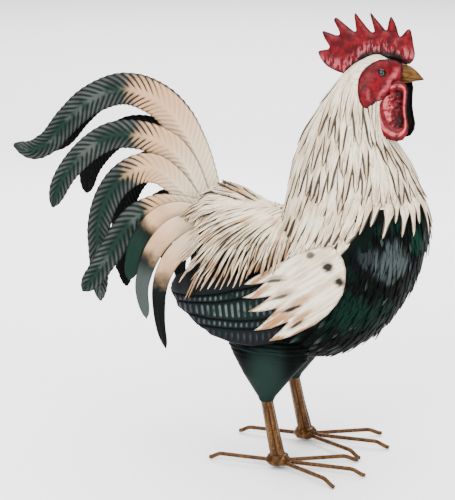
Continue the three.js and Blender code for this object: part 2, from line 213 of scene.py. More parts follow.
class Paint:
    """A painted finish: a Principled shader and the nodes that feed it."""

    def __init__(self, name, roughness, metallic=0.0, shine=0.14):
        self.material = bpy.data.materials.new(name)
        self.material.use_nodes = True
        self.tree = self.material.node_tree
        self.shader = self.tree.nodes["Principled BSDF"]
        self.shader.inputs["Metallic"].default_value = metallic
        self.shader.inputs["Specular IOR Level"].default_value = shine
        self.set("Roughness", roughness)
        self.coordinates = self.tree.nodes.new("ShaderNodeTexCoord")

    def set(self, socket, value):
        self.feed(self.shader.inputs[socket], value)

    def feed(self, socket, value):
        if isinstance(value, Tone):
            self.tree.links.new(value.socket, socket)
        elif hasattr(socket.default_value, "__len__") and isinstance(value, (int, float)):
            socket.default_value = [value] * len(socket.default_value)
        elif hasattr(socket.default_value, "__len__") and len(socket.default_value) > len(value):
            socket.default_value = (*value, 1)
        else:
            socket.default_value = value

    def node(self, kind, output, settings, inputs):
        """A node with its settings and inputs, and the output that is wanted of it."""
        made = self.tree.nodes.new(kind)
        for setting, value in settings.items():
            setattr(made, setting, value)
        for socket, value in inputs.items():
            self.feed(made.inputs[socket], value)
        return Tone(self, made.outputs[output])

    def where(self):
        return Tone(self, self.coordinates.outputs["Object"])

    def over_strip(self):
        """Across and along a strip of sheet, each from 0 to 1."""
        split = self.tree.nodes.new("ShaderNodeSeparateXYZ")
        self.tree.links.new(self.coordinates.outputs["UV"], split.inputs[0])
        return Tone(self, split.outputs[0]), Tone(self, split.outputs[1])

    def joined(self, x, y, z=0.0):
        """Coordinates made of three numbers, for a brush that starts anew on each strip."""
        return self.node("ShaderNodeCombineXYZ", 0, {}, {0: x, 1: y, 2: z})

    def attribute(self, name):
        return self.node("ShaderNodeAttribute", "Fac", {"attribute_name": name}, {})

    def sums(self, operation, a, b):
        return self.node("ShaderNodeMath", 0, {"operation": operation}, {0: a, 1: b})

    def blend(self, share, a, b):
        return self.node("ShaderNodeMix", 2, {"data_type": "RGBA"}, {0: share, 6: a, 7: b})

    def over(self, ground, *touches):
        """A ground colour with touches laid over it in turn, each a share and its colour."""
        for share, colour in touches:
            ground = self.blend(share, ground, colour)
        return ground

    def stretched(self, scale, turn=(0, 0, 0), start=(0, 0, 0)):
        """Object coordinates about a start, turned, then multiplied along each turned axis."""
        return self.node("ShaderNodeMapping", 0, {"vector_type": "TEXTURE"}, {
            "Vector": self.where(), "Location": start, "Rotation": turn, "Scale": [1 / s for s in scale],
        })

    def distance(self, where, centre=(0, 0, 0)):
        return self.node("ShaderNodeVectorMath", "Value", {"operation": "DISTANCE"}, {0: where, 1: centre})

    def noise(self, where, scale, detail=3.0, distortion=0.0):
        return self.node("ShaderNodeTexNoise", "Fac", {}, {
            "Vector": where, "Scale": scale, "Detail": detail, "Roughness": 0.55, "Distortion": distortion,
        })

    def bump(self, height, strength, distance=0.001):
        self.set("Normal", self.node("ShaderNodeBump", 0, {}, {
            "Strength": strength, "Distance": distance, "Height": height,
        }))


undercoat = Paint("undercoat_green_black", roughness=0.5, shine=0.02)
undercoat_cloud = undercoat.noise(undercoat.where(), 35)
undercoat.set("Base Color", undercoat.blend(undercoat_cloud, (0.0006, 0.0010, 0.0009), (0.003, 0.006, 0.005)))
undercoat.bump(undercoat.noise(undercoat.where(), 260), 0.2)

body = beaten_round("body", "body_form", voxel=0.0035, passes=10)
body.data.materials.append(undercoat.material)
finish_piece(body, "dark_green_paint", "body")
body_mesh = bmesh.new()
body_mesh.from_mesh(body.data)
body_skin = BVHTree.FromBMesh(body_mesh)
body_mesh.free()

# Legs and feet: a fluted tube and three ribbed rods to a foot, joined by a lump of weld.
# The tube is sheet steel rolled with five flutes. The rods are bent down to the floor at their ends.
# All are painted golden brown with dark rubbed into the hollows.
SHEET = 0.0008


def thicken(piece, thickness, lining=None):
    """Gives a sheet its thickness, inwards from its outer face, with a lining's finish inside."""
    solidify = piece.modifiers.new("thickness", "SOLIDIFY")
    solidify.thickness = thickness
    solidify.offset = -1
    if lining:
        piece.data.materials.append(lining.material)
        solidify.material_offset = 1
    apply_all(piece)


def sheet_piece(name, points, faces, finish, thickness=0, uvs=None, **tones):
    """A piece of thin sheet. Its tones are numbers for each point, which the finish reads by their names."""
    mesh = bpy.data.meshes.new(name)
    mesh.from_pydata([tuple(p) for p in points], [], [tuple(int(i) for i in f) for f in faces])
    if uvs is not None:
        layer = mesh.uv_layers.new(name="along")
        corners = np.empty(len(mesh.loops), int)
        mesh.loops.foreach_get("vertex_index", corners)
        layer.data.foreach_set("uv", np.asarray(uvs)[corners].ravel())
    for label, values in tones.items():
        layer = mesh.attributes.new(label, "FLOAT", "POINT")
        layer.data.foreach_set("value", np.array(values, float).ravel())
    piece = bpy.data.objects.new(name, mesh)
    bpy.context.scene.collection.objects.link(piece)
    piece.data.materials.append(finish.material)
    if thickness:
        thicken(piece, thickness)
    smooth_by_angle(piece)
    return piece


def smooth_by_angle(piece, degrees=40):
    """Shades a piece smooth, but for edges sharper than an angle."""
    piece.data.polygons.foreach_set("use_smooth", [True] * len(piece.data.polygons))
    pick(piece)
    bpy.ops.object.shade_smooth_by_angle(angle=math.radians(degrees))
    deselect()


def grid_faces(rows, count, rings=False):
    """Faces between rows of points, going all the way round where the rows are rings."""
    return [
        (row + c, row + (c + 1) % count, row + count + (c + 1) % count, row + count + c)
        for row in range(0, (rows - 1) * count, count)
        for c in range(count if rings else count - 1)
    ]


def tube_piece(name, rings, finish, hollows):
    """A closed tube through rings of points, with how deep each point lies in a hollow."""
    rings = np.array(rings)
    steps, count = rings.shape[:2]
    faces = grid_faces(steps, count, rings=True)
    faces.append(tuple(range(count))[::-1])
    faces.append(tuple(range((steps - 1) * count, steps * count)))
    piece = sheet_piece(name, placed(rings.reshape(-1, 3)), faces, finish, tone=hollows)
    outwards(piece)
    return piece


def outwards(piece):
    """Turns every face of a closed piece to look outwards."""
    pick(piece)
    bpy.ops.object.mode_set(mode="EDIT")
    bpy.ops.mesh.select_all(action="SELECT")
    bpy.ops.mesh.normals_make_consistent(inside=False)
    bpy.ops.object.mode_set(mode="OBJECT")
    deselect()


def mirrored_copy(piece, name):
    twin = piece.copy()
    twin.data = piece.data.copy()
    twin.name = name
    bpy.context.scene.collection.objects.link(twin)
    twin.data.transform(Matrix.Scale(-1, 4, (0, 1, 0)))
    twin.data.flip_normals()
    return twin


def pair(piece, stem, slot, *nodes):
    """The right piece and its mirrored twin, each in its own CAD pieces' place."""
    twin = mirrored_copy(piece, f"left_{stem}_form")
    piece.name = f"right_{stem}_form"
    finish_piece(piece, slot, *[f"right_{node}" for node in nodes])
    finish_piece(twin, slot, *[f"left_{node}" for node in nodes])


def look_up(table, value):
    """The other columns of a table, at a value of its first column."""
    first, *others = np.asarray(table, float).T
    return [np.interp(value, first, column) for column in others]


def all_round(count):
    """Even angles round a ring."""
    return np.linspace(0, 2 * math.pi, count, endpoint=False)


def level_ring(x, y, z, long, across, angles):
    """A ring of points at one height, so long along the bird and so wide across it."""
    return np.stack([x + long * np.cos(angles), y + across * np.sin(angles), 0 * angles + z], 1)


leg_paint = Paint("leg_bronze", roughness=0.42, metallic=0.25)
leg_hollow = leg_paint.attribute("tone")
leg_streak = leg_paint.noise(leg_paint.stretched((260, 260, 26)), 1.0, 3)
leg_spot = leg_paint.noise(leg_paint.where(), 190, 3)
leg_dark = leg_hollow + (leg_spot - 0.5) * 0.8
leg_paint.set("Base Color", leg_paint.over(
    leg_paint.blend(leg_streak.ramp(0.35, 0.68), (0.036, 0.0135, 0.0026), (0.105, 0.044, 0.0105)),
    (leg_spot.ramp(0.58, 0.78), (0.17, 0.085, 0.03)),
    (leg_dark.ramp(0.35, 1.0), (0.012, 0.005, 0.002)),
))
leg_paint.set("Roughness", leg_spot.ramp(0.0, 1.6))
leg_paint.bump(leg_spot, 0.35, 0.0005)

# Height, then x and y of the middle and the radius there.
tube_knots = ((13, 0, -60, 11.8), (20, -1.5, -59.8, 10.2), (55, -9.5, -58.8, 9), (93, -17.8, -57.4, 8.5))
tube_angles = all_round(60)
flute_depth = 0.17
tube_rings = []
tube_hollows = []
for z in np.linspace(13, 93, 33):
    x, y, radius = look_up(tube_knots, z)
    flute = (0.5 + 0.5 * np.cos(5 * tube_angles)) ** 2
    wobble = 0.012 * np.sin(3 * tube_angles + z * 0.11) + 0.01 * np.sin(7 * tube_angles - z * 0.07)
    around = radius * (1 - flute_depth * flute + wobble)
    tube_rings.append(level_ring(x, y, z, around, around, tube_angles))
    tube_hollows.append(flute**2)
pair(tube_piece("leg", tube_rings, leg_paint, tube_hollows), "leg", "brown_paint", "leg")

# The rod's radius, how high its middle runs, and the spacing and depth of its ribs.
ROD = 3.0
ROD_HEIGHT = 9.7
RIB = 2.9
RIB_DEPTH = 0.42
FOOT_Y = -60


def rod_bend(reach, end):
    """Places from a reach to the end of a rod, over which it comes down to lie on the floor."""
    low = ROD + 0.12
    return [
        (reach + (end - reach) * s, ROD_HEIGHT - (ROD_HEIGHT - low) * (0.5 - 0.5 * math.cos(math.pi * s)))
        for s in (0, 0.18, 0.36, 0.55, 0.78, 1)
    ]


def run_along(path):
    """How far along a path each of its points lies."""
    return np.concatenate([[0], np.cumsum(np.linalg.norm(np.diff(path, axis=0), axis=1))])


def follow(run, path, at):
    """The places on a path at some distances along it."""
    return np.stack([np.interp(at, run, column) for column in path.T], 1)


def toe(name, path, heading):
    """A ribbed rod along a path of distance and height, turned about the leg."""
    path = np.array(path, float)
    run = run_along(path)
    count = int(run[-1] / RIB) * 4
    even = np.linspace(0, run[-1], count + 1)
    run_out, height = follow(run, path, even).T
    slope = np.gradient(height, even)
    angles = all_round(16)
    rings = []
    hollows = []
    for k in range(count + 1):
        rib = (0.0, 0.6, 1.0, 0.6)[k % 4]
        from_end = min(even[k], run[-1] - even[k])
        closing = math.sqrt(min(1.0, 0.35 + from_end / 1.6))
        seam = (np.abs(np.cos(angles)) > 0.96) * 0.12
        radius = (ROD - RIB_DEPTH + RIB_DEPTH * rib * (1 - seam)) * closing
        side = radius * np.cos(angles)
        up = radius * np.sin(angles)
        tilt = math.atan(slope[k])
        along = run_out[k] - up * math.sin(tilt)
        z = np.maximum(height[k] + up * math.cos(tilt), 0.02)
        rings.append(np.stack([
            along * math.cos(heading) - side * math.sin(heading),
            FOOT_Y + along * math.sin(heading) + side * math.cos(heading), z,
        ], 1))
        hollows.append(np.full_like(angles, (1 - rib) * 0.75))
    return tube_piece(name, rings, leg_paint, hollows)


long_path = rod_bend(-80, -98)[::-1] + rod_bend(99, 120)
side_path = [(13, ROD_HEIGHT)] + rod_bend(88, 110)
toe_spread = math.radians(31)
pair(toe("long_toe", long_path, 0), "long_toe", "brown_paint", "long_toe")
pair(toe("outer_toe", side_path, -toe_spread), "outer_toe", "brown_paint", "outer_toe")
pair(toe("inner_toe", side_path, toe_spread), "inner_toe", "brown_paint", "inner_toe")

weld_rings = []
weld_hollows = []
weld_angles = all_round(48)
for z, radius in (
    (4.6, 9), (5.4, 12.6), (8, 15.4), (11, 16.4), (14, 15.6), (16.6, 13.6), (18.5, 12.2), (19.6, 10.6)
):
    bead = 0.06 * np.sin(5 * weld_angles + 0.6 * z) + 0.035 * np.sin(11 * weld_angles - 0.9 * z)
    ring = radius * (1 + bead)
    weld_rings.append(level_ring(0, FOOT_Y, z, ring, ring, weld_angles))
    weld_hollows.append(np.clip(0.35 - 5 * bead, 0, 1))
pair(tube_piece("foot_weld", weld_rings, leg_paint, weld_hollows), "foot_weld", "brown_paint", "foot_weld")

# Thighs: smooth dark teal cones from the belly down to the legs, with a painted highlight down the middle of
# each.
# One sheet of steel rolled to a cone, with fine creases beaten in where it spreads out under the wing.
thigh_paint = Paint("thigh_teal", roughness=0.5, shine=0.03)
thigh_cloud = thigh_paint.noise(thigh_paint.stretched((30, 30, 9)), 1.0, 3)
thigh_crease = thigh_paint.attribute("tone")
thigh_lines = thigh_paint.noise(
    thigh_paint.stretched((14, 14, 330), turn=(0.0, 0.12, 0.0)), 1.0, 2, distortion=0.6
)
# Painted highlight: lighter teal down the middle of the thigh, fading to dark towards its edges.
thigh_highlight_distance = thigh_paint.distance(thigh_paint.stretched((30, 0.001, 17), start=place(-14, 0, 124)))
thigh_painted_highlight = (thigh_highlight_distance + thigh_cloud * 0.4).ramp(1.35, 0.45)
thigh_paint.set("Base Color", thigh_paint.over(
    thigh_paint.blend(thigh_painted_highlight, (0.0006, 0.0011, 0.0010), (0.0075, 0.0165, 0.0140)),
    (thigh_lines.ramp(0.5, 0.62) * thigh_crease, (0.0060, 0.0150, 0.0125)),
))
thigh_paint.bump(thigh_lines * thigh_crease, 0.7, 0.0012)

# Height, then x and y of the middle, half the length and half the width there.
thigh_knots = (
    (90.5, -17.5, -57.5, 9.4, 9.4), (93, -17.5, -57.5, 10.6, 10.4), (96, -17.5, -57.3, 11.6, 11.2),
    (126, -16, -55, 34, 25), (148, -14, -51, 51, 28), (170, -21, -46, 57, 25), (186, -27, -42, 60, 22),
)
thigh_angles = all_round(72)
thigh_rings = []
thigh_tones = []
for z in np.linspace(90.5, 186, 60):
    x, y, long, across = look_up(thigh_knots, z)
    crease = float(np.clip((z - 142) / 22, 0, 1))
    ripple = 0.9 * crease * np.sin(z * 1.15 + 1.6 * np.cos(thigh_angles) + 0.5 * np.sin(3 * thigh_angles))
    thigh_rings.append(level_ring(x, y, z, long + ripple, across + ripple, thigh_angles))
    thigh_tones.append(np.full_like(thigh_angles, crease))
pair(tube_piece("thigh", thigh_rings, thigh_paint, thigh_tones), "thigh", "dark_green_paint", "thigh")

# Flight feathers: one pressed plate on each side, with bands of ribs and beads between sunk lines.
# Sheet steel painted purple-black, with a teal glaze that is lightest on the ribs in the middle of the plate:
# that light teal on the rib crests is glaze and painted highlight together.

# The curve of the bird's side that the wings lie on: x, then its lowest, highest and half width there.
WING_CURVE = (
    (-158, 190, 262, 50), (-150, 165, 285, 58), (-120, 110, 350, 75), (-80, 80, 385, 84),
    (-30, 65, 405, 91), (30, 60, 415, 95), (75, 60, 420, 96), (112, 90, 410, 84),
)
curve_reach = 13
curve_softness = np.hanning(2 * curve_reach + 1)
curve_softness = curve_softness / curve_softness.sum()
curve_x = np.arange(-175.0, 130.0)
curve_wide = np.arange(curve_x[0] - curve_reach, curve_x[-1] + curve_reach + 1)
wing_curve = np.stack([curve_x] + [
    np.convolve(values, curve_softness, "valid") for values in look_up(WING_CURVE, curve_wide)
], 1)


def beside(x, z, lift):
    """Y on the right side of the bird, in millimetres."""
    low, high, half = look_up(wing_curve, x)
    rise = (z - (low + high) / 2) / ((high - low) / 2 + lift)
    return -(half + lift) * np.sqrt(np.clip(1 - rise**2, 0, 1))


# X and z along the plate's lower edge, its upper edge and the lines between its bands.
flight_lower = (
    (-154, 235), (-152, 227), (-147, 222), (-143, 218), (-141, 210), (-130, 205.5), (-123, 203),
    (-112, 193), (-104, 186), (-97, 184), (-90, 178), (-75, 175), (-60, 171), (-28, 170), (2, 178), (15, 196),
)
flight_upper = ((-154, 237), (-146, 250), (-120, 262), (-60, 266), (12, 258), (15, 254))
flight_lines = (
    ((-154, 189), (-106, 190), (-80, 190.5), (-51, 192), (-21, 196), (15, 203)),
    ((-154, 204), (-111, 203), (-88, 201.5), (-50, 203), (-32, 205.5), (-10, 210), (15, 215)),
    ((-154, 216), (-107, 221), (-78, 225), (-59, 230), (-41, 235), (15, 249)),
    ((-154, 226), (-122, 228), (-97, 231.5), (-78, 236), (-59, 242), (-41, 247), (-10, 256), (15, 262)),
)
flight_rows = (14, 8, 18, 8, 10)
flight_columns = 190
column_x = np.linspace(-153.5, 15, flight_columns)
lowest, = look_up(flight_lower, column_x)
highest, = look_up(flight_upper, column_x)
levels = [lowest, *(np.clip(look_up(line, column_x)[0], lowest, highest) for line in flight_lines), highest]


def beads(x, spacing):
    """A row of swellings along the plate, each from 0 to 1."""
    return 0.5 + 0.5 * np.cos(2 * math.pi * x / spacing)


grid_z = []
grid_lift = []
grid_line = []
grid_rib = []
for band, rows in enumerate(flight_rows):
    under, over = levels[band], levels[band + 1]
    span = np.clip((over - under) / 8.0, 0, 1)
    for row in range(rows + (band == 4)):
        share = row / rows
        # The plate is sunk where two bands meet, and not at its own edges.
        at_plate_edge = share <= 0.5 if band == 0 else band == 4 and share >= 0.5
        sunk = 0.0 if at_plate_edge else max(0.0, 1 - min(share, 1 - share) * rows / 1.6)
        crown = math.sin(math.pi * share) ** 0.5 if 0 < share < 1 else 0.0
        if band == 2:
            rib = beads(column_x + 2.5 * share, 8.9) * min(1, 4 * share) * min(1, 4 * (1 - share))
        elif band in (1, 3):
            rib = beads(column_x + 2.6 * band, 7.9) * math.sin(math.pi * share)
        elif band == 0:
            rib = beads(column_x + 3, 8.9) * math.sin(math.pi * share) * 0.8
        else:
            rib = 0 * column_x
        grid_z.append(under + (over - under) * share)
        grid_lift.append(0.2 + (0.9 * crown + 0.9 * rib) * span - 0.5 * sunk)
        grid_line.append(np.full(flight_columns, sunk))
        grid_rib.append(rib * span)
grid_z, grid_lift, grid_line, grid_rib = (np.array(g) for g in (grid_z, grid_lift, grid_line, grid_rib))
grid_x = np.tile(column_x, (len(grid_z), 1))
flight_points = np.stack([grid_x, beside(grid_x, grid_z, grid_lift), grid_z], 2).reshape(-1, 3)
flight_faces = grid_faces(len(grid_z), flight_columns)

flight_paint = Paint("flight_teal", roughness=0.4, metallic=0.2, shine=0.06)
flight_rib = flight_paint.attribute("tone")
flight_line = flight_paint.attribute("line")
flight_cloud = flight_paint.noise(flight_paint.where(), 45, 3)
flight_grain = flight_paint.noise(flight_paint.where(), 300, 2)
glaze = flight_paint.distance(flight_paint.stretched((13, 0.001, 21), start=place(-58, 0, 216)))
in_glaze = (glaze + flight_cloud * 0.7).ramp(1.45, 0.55)
flight_highlight_colour = flight_paint.blend(in_glaze, (0.016, 0.0165, 0.023), (0.070, 0.092, 0.087))
# Painted highlight: patches of the rib crests take the light teal of the glaze.
flight_crest_highlight = flight_rib.ramp(0.4, 0.95) * flight_cloud.ramp(0.3, 0.6)
flight_paint.set("Base Color", flight_paint.over(
    flight_paint.blend(flight_cloud, (0.0018, 0.0019, 0.0028), (0.005, 0.0055, 0.008)),
    (in_glaze * 0.85, (0.0022, 0.0075, 0.0065)),
    (flight_crest_highlight, flight_highlight_colour),
    (flight_line, (0.0003, 0.0003, 0.0004)),
))
flight_paint.bump(flight_grain, 0.2, 0.0005)
flights = sheet_piece(
    "flights", placed(flight_points), flight_faces, flight_paint, tone=grid_rib, line=np.clip(grid_line, 0, 1)
)
PLATE = 1.2 * MM
thicken(flights, PLATE)
pair(flights, "flights", "dark_green_paint", "flight_feathers")

# Wing shield: a white plate over the front of the wing, cut into five feather fingers.
# Sheet steel with its edge rolled back a little, brushed with tan and marked with small painted feathers.
SHIELD_EDGE = [
    (88, 305), (94, 296), (98, 283), (98, 268), (95, 252), (88, 239), (77, 225), (61, 211), (44, 201),
    (27, 191), (12, 185), (-4, 181), (4, 189), (13, 198), (25, 211), (14, 206), (0, 199), (-12, 195.5),
    (-24, 193.5), (-16, 200), (-6, 210), (9, 227), (-4, 223), (-17, 219.5), (-32, 218.5), (-24, 223.5),
    (-12, 232), (0, 242.5), (-12, 239.5), (-24, 236.5), (-40, 236), (-31, 241), (-20, 248), (-8, 259.5),
    (-18, 257), (-26, 254.5), (-38, 253.5), (-31, 260), (-22, 266.5), (-8, 274), (4, 283), (20, 291),
    (34, 300), (55, 308), (79, 313),
]


def rounded_edge(corners, spacing):
    """Even points round a closed outline."""
    ring = np.array(list(corners) + [corners[0]], float)
    run = run_along(ring)
    return follow(run, ring, np.linspace(0, run[-1], int(run[-1] / spacing), endpoint=False))


def within(points, edge):
    """True for each point inside a closed outline."""
    inside = np.zeros(len(points), bool)
    for a, b in zip(edge, np.roll(edge, -1, axis=0)):
        crosses = (a[1] > points[:, 1]) != (b[1] > points[:, 1])
        rise = b[1] - a[1] if b[1] != a[1] else 1e-9
        inside ^= crosses & (points[:, 0] < (b[0] - a[0]) * (points[:, 1] - a[1]) / rise + a[0])
    return inside


def from_outline(points, edge):
    """How far each point is from the nearest point of an outline."""
    return np.min(np.linalg.norm(points[:, None] - edge[None], axis=2), axis=1)


def filled(edge, spacing):
    """Triangles over the space inside an outline, and how far each point is from the outline."""
    low, high = edge.min(0), edge.max(0)
    xs = np.arange(low[0], high[0], spacing)
    zs = np.arange(low[1], high[1], spacing * 0.87)
    mesh_x, mesh_z = np.meshgrid(xs, zs)
    mesh_x[1::2] += spacing / 2
    inner = np.stack([mesh_x.ravel(), mesh_z.ravel()], 1)
    inner = inner[within(inner, edge)]
    inner = inner[from_outline(inner, edge) > spacing * 0.55]
    flat = np.concatenate([edge, inner])
    loop = [(k, (k + 1) % len(edge)) for k in range(len(edge))]
    result = delaunay_2d_cdt([Vector(p) for p in flat], loop, [list(range(len(edge)))], 1, 1e-5)
    points = np.array(result[0])
    return points, [tuple(face) for face in result[2]], from_outline(points, edge)


shield_edge = rounded_edge(SHIELD_EDGE, 1.6)
shield_flat, shield_faces, from_edge = filled(shield_edge, 2.6)
shield_x, shield_z = shield_flat.T
# The plate stands 4 mm off the side, less at its rolled edge, and ripples towards the fingers.
ripples = np.sin((shield_x * 0.55 - shield_z * 0.83) * 0.42) * np.clip((40 - shield_x) / 50, 0, 1)
shield_lift = 4.0 - 1.5 * np.exp(-from_edge / 1.6) + 0.5 * ripples
shield_points = placed(np.stack([shield_x, beside(shield_x, shield_z, shield_lift), shield_z], 1))

shield_paint = Paint("shield_white", roughness=0.46)
# Brush strokes fan from the shoulder down to the fingers.
shield_stroke = shield_paint.noise(
    shield_paint.stretched((20, 0.001, 150), turn=(0, math.radians(-36), 0)), 1.0, 4, distortion=0.35
)
shield_cloud = shield_paint.noise(shield_paint.where(), 26, 2)
shield_flecks = shield_paint.noise(
    shield_paint.stretched((60, 0.001, 230), turn=(0, math.radians(-28), 0)), 1.0, 3, distortion=0.5
)
shield_white = shield_paint.blend(shield_stroke.ramp(0.36, 0.62), (0.47, 0.37, 0.255), (0.73, 0.65, 0.51))
shield_low = shield_paint.attribute("tone")
tan_stroke = shield_stroke.ramp(0.56, 0.44) * (shield_low + shield_cloud * 0.9).ramp(0.75, 1.25)
shield_touches = [(tan_stroke, (0.27, 0.12, 0.042))]


def painted_mark(centre, reach, turned, strength):
    """A short stroke of the brush: an ellipse with a soft ragged edge, longer one way."""
    where = shield_paint.stretched(
        (1 / (reach[0] * MM), 0.001, 1 / (reach[1] * MM)),
        turn=(0, math.radians(-turned), 0), start=place(centre[0], 0, centre[1]),
    )
    ragged = shield_paint.distance(where) + shield_flecks * 1.1
    return ragged.ramp(1.9, 1.0) * strength


# Middle, reach along and across, lean in degrees, colour and strength of each mark.
for centre, reach, turned, colour, strength in (
    ((52, 300), (6, 5), 0, (0.02, 0.014, 0.009), 0.9),
    ((76, 286), (8, 7), 0, (0.012, 0.008, 0.005), 1.0),
    ((91, 268), (6.5, 7), 0, (0.008, 0.006, 0.004), 1.0),
    ((8, 266), (16, 5), 14, (0.17, 0.135, 0.1), 0.8),
    ((5, 263), (14, 2.4), 12, (0.022, 0.017, 0.013), 0.9),
    ((19, 248), (19, 5), 22, (0.26, 0.16, 0.09), 0.75),
    ((14, 243), (15, 2.6), 22, (0.03, 0.022, 0.016), 0.9),
    ((38, 238), (21, 6), 30, (0.3, 0.15, 0.06), 0.85),
    ((30, 229), (14, 3.4), 26, (0.01, 0.007, 0.005), 1.0),
    ((42, 219), (21, 5), 40, (0.28, 0.13, 0.05), 0.8),
    ((36, 209), (15, 2.4), 40, (0.012, 0.008, 0.005), 0.95),
):
    shield_touches.append((painted_mark(centre, reach, turned, strength), colour))
shield_touches.append((shield_paint.attribute("line") * 0.8, (0.17, 0.11, 0.06)))
shield_paint.set("Base Color", shield_paint.over(shield_white, *shield_touches))
shield_paint.bump(shield_stroke, 0.3, 0.0006)
# More tan goes on towards the rear and the lower edge.
shield_tone = np.clip((45 - shield_x) / 60, 0, 1) * 0.65 + np.clip((240 - shield_z) / 45, 0, 1) * 0.7
rolled_edge = np.clip(1 - from_edge / 1.3, 0, 1) ** 2
shield = sheet_piece(
    "shield", shield_points, shield_faces, shield_paint, tone=shield_tone, line=rolled_edge
)
thicken(shield, PLATE)
pair(shield, "shield", "cream_paint", "wing_shield")

# Tail sickles: seven tall curved feathers on each side, pressed with a midrib and slanting barbs.
# Sheet steel, cream at the root and green-grey at the tip outside, black inside, welded to the rump.

# For each: its centre line from root to tip, its greatest width, how much of that goes by the tip,
# where along it the cream gives way to green, and how pale its tip is.
SICKLES = [
    (
        (
            (-113, -4, 343), (-137, -5, 408), (-166, -7, 454), (-192, -9, 476), (-236, -13, 489),
            (-284, -18, 472), (-316, -23, 444), (-344, -28, 412), (-366, -32, 402), (-391, -35, 408),
        ),
        50, 0.5, 0.47, 0.5,
    ),
    (
        (
            (-124, -9, 340), (-149, -12, 391), (-172, -16, 415), (-205, -22, 428), (-245, -30, 428),
            (-275, -36, 412), (-300, -42, 387), (-316, -47, 362), (-325, -55, 330),
        ),
        43, 0.45, 0.42, 0.5,
    ),
    (
        (
            (-120, -11, 328), (-136, -14, 339), (-161, -18, 367), (-185, -23, 384), (-207, -28, 385),
            (-232, -34, 371), (-253, -38, 342), (-264, -41, 304), (-264, -43, 270), (-261, -45, 203),
        ),
        43, 0.5, 0.38, 0.5,
    ),
    (
        (
            (-118, -17, 328), (-131, -20, 333), (-162, -26, 335), (-189, -33, 330), (-211, -40, 318),
            (-229, -46, 296), (-244, -51, 271), (-258, -55, 248), (-280, -60, 218),
        ),
        41, 0.4, 0.34, 0.5,
    ),
    (
        (
            (-99, -20, 314), (-118, -22, 322), (-131, -26, 328), (-155, -34, 330), (-175, -42, 323),
            (-193, -49, 303), (-204, -55, 282), (-211, -62, 239),
        ),
        30, 0.4, 0.55, 0.4,
    ),
    (
        (
            (-92, -27, 300), (-114, -28, 308), (-129, -34, 313), (-144, -42, 314), (-158, -50, 306),
            (-171, -57, 290), (-180, -62, 273), (-187.5, -66, 250), (-190, -69, 228), (-182, -72, 191),
        ),
        30, 0.6, 0.565, 1.0,
    ),
    (
        (
            (-88, -32, 320), (-108, -37, 307), (-123, -44, 300), (-137, -53, 288), (-151, -61, 271),
            (-160, -67, 251), (-164, -71, 230), (-163.5, -74, 207), (-160, -76, 180), (-152, -78, 154),
        ),
        28, 0.72, 0.555, 0.0,
    ),
]
BARB = 8.4
BARBED_SICKLES = 4


def smooth_line(knots, count):
    """Even steps along a smooth curve through the knots."""
    knots = np.array(knots, float)
    gaps = np.sqrt(np.linalg.norm(np.diff(knots, axis=0), axis=1))
    times = np.concatenate([[0], np.cumsum(gaps)])
    slopes = np.gradient(knots, times, axis=0)
    fine = np.linspace(0, times[-1], 400)
    span = np.clip(np.searchsorted(times, fine, side="right") - 1, 0, len(times) - 2)
    width = times[span + 1] - times[span]
    t = ((fine - times[span]) / width)[:, None]
    width = width[:, None]
    curve = (
        (2 * t**3 - 3 * t**2 + 1) * knots[span] + (t**3 - 2 * t**2 + t) * width * slopes[span]
        + (3 * t**2 - 2 * t**3) * knots[span + 1] + (t**3 - t**2) * width * slopes[span + 1]
    )
    run = run_along(curve)
    return follow(run, curve, np.linspace(0, run[-1], count)), run[-1]


def rounded_tip(v, start, blunt):
    """A share of the width: all of it up to a start, then rounding off to the tip."""
    return np.sqrt(np.clip(1 - (np.clip(v - start, 0, 1) / (1 - start)) ** 2, blunt, 1))


def sickle_finish(name, barbed):
    """Cream at the root, tan in the middle, green and grey at the tip, with painted shade in the grooves of
    the barbs.
    """
    paint = Paint(name, roughness=0.48, shine=0.06)
    across, run = paint.over_strip()
    groove = paint.attribute("groove")
    paleness = paint.attribute("tone")
    cloud = paint.noise(paint.where(), 34, 3)
    fine = paint.noise(paint.where(), 180, 3)
    middle = abs(across - 0.5)
    cream = paint.over(
        paint.blend(run.ramp(0.12, 0.9), (0.67, 0.565, 0.41), (0.47, 0.285, 0.16)),
        # Painted shade: the barbs' grooves are tanned, and near-black close to the green.
        (groove * 0.4, (0.22, 0.12, 0.06)),
        (run.ramp(0.78, 0.95) * groove.ramp(0.55, 0.9), (0.010, 0.009, 0.007)),
    )
    if barbed:
        green = paint.over(
            paint.blend(middle.ramp(0.05, 0.4), (0.0055, 0.017, 0.0125), (0.036, 0.042, 0.0395)),
            (cloud.ramp(0.45, 0.62), (0.046, 0.054, 0.05)),
            # Painted shade: the grooves go dark, so each barb runs from a light crest to a dark valley.
            (groove.ramp(0.08, 0.9) * 0.9, (0.002, 0.0044, 0.0037)),
        )
        start, end, jag = 0.90, 1.12, 0.08
    else:
        green = paint.over(
            paint.blend(paleness.ramp(0.0, 0.4), (0.0008, 0.002, 0.0016), (0.0045, 0.0155, 0.011)),
            (paleness.ramp(0.4, 1.0), (0.036, 0.045, 0.042)),
            (run.ramp(1.32, 1.04), (0.0025, 0.0045, 0.0038)),
        )
        smoke = run.ramp(0.66, 1.0) * cloud.ramp(0.3, 0.62)
        cream = paint.over(cream, (smoke * 0.75, (0.1, 0.07, 0.045)))
        start, end, jag = 0.88, 1.14, 0.0
    change = run + (groove - 0.5) * jag + (cloud - 0.5) * 0.3
    paint.set("Base Color", paint.over(
        cream, (change.ramp(start, end), green), (middle.ramp(0.45, 0.5) * 0.8, (0.008, 0.007, 0.006))
    ))
    paint.bump(fine, 0.12)
    return paint


barbed_paint = sickle_finish("sickle_barbed", True)
plain_paint = sickle_finish("sickle_plain", False)

inner_black = Paint("sickle_inner_black", roughness=0.5, shine=0.03)
inner_cloud = inner_black.noise(inner_black.where(), 90)
inner_black.set(
    "Base Color", inner_black.blend(inner_cloud, (0.0008, 0.0008, 0.0008), (0.004, 0.0046, 0.0046))
)


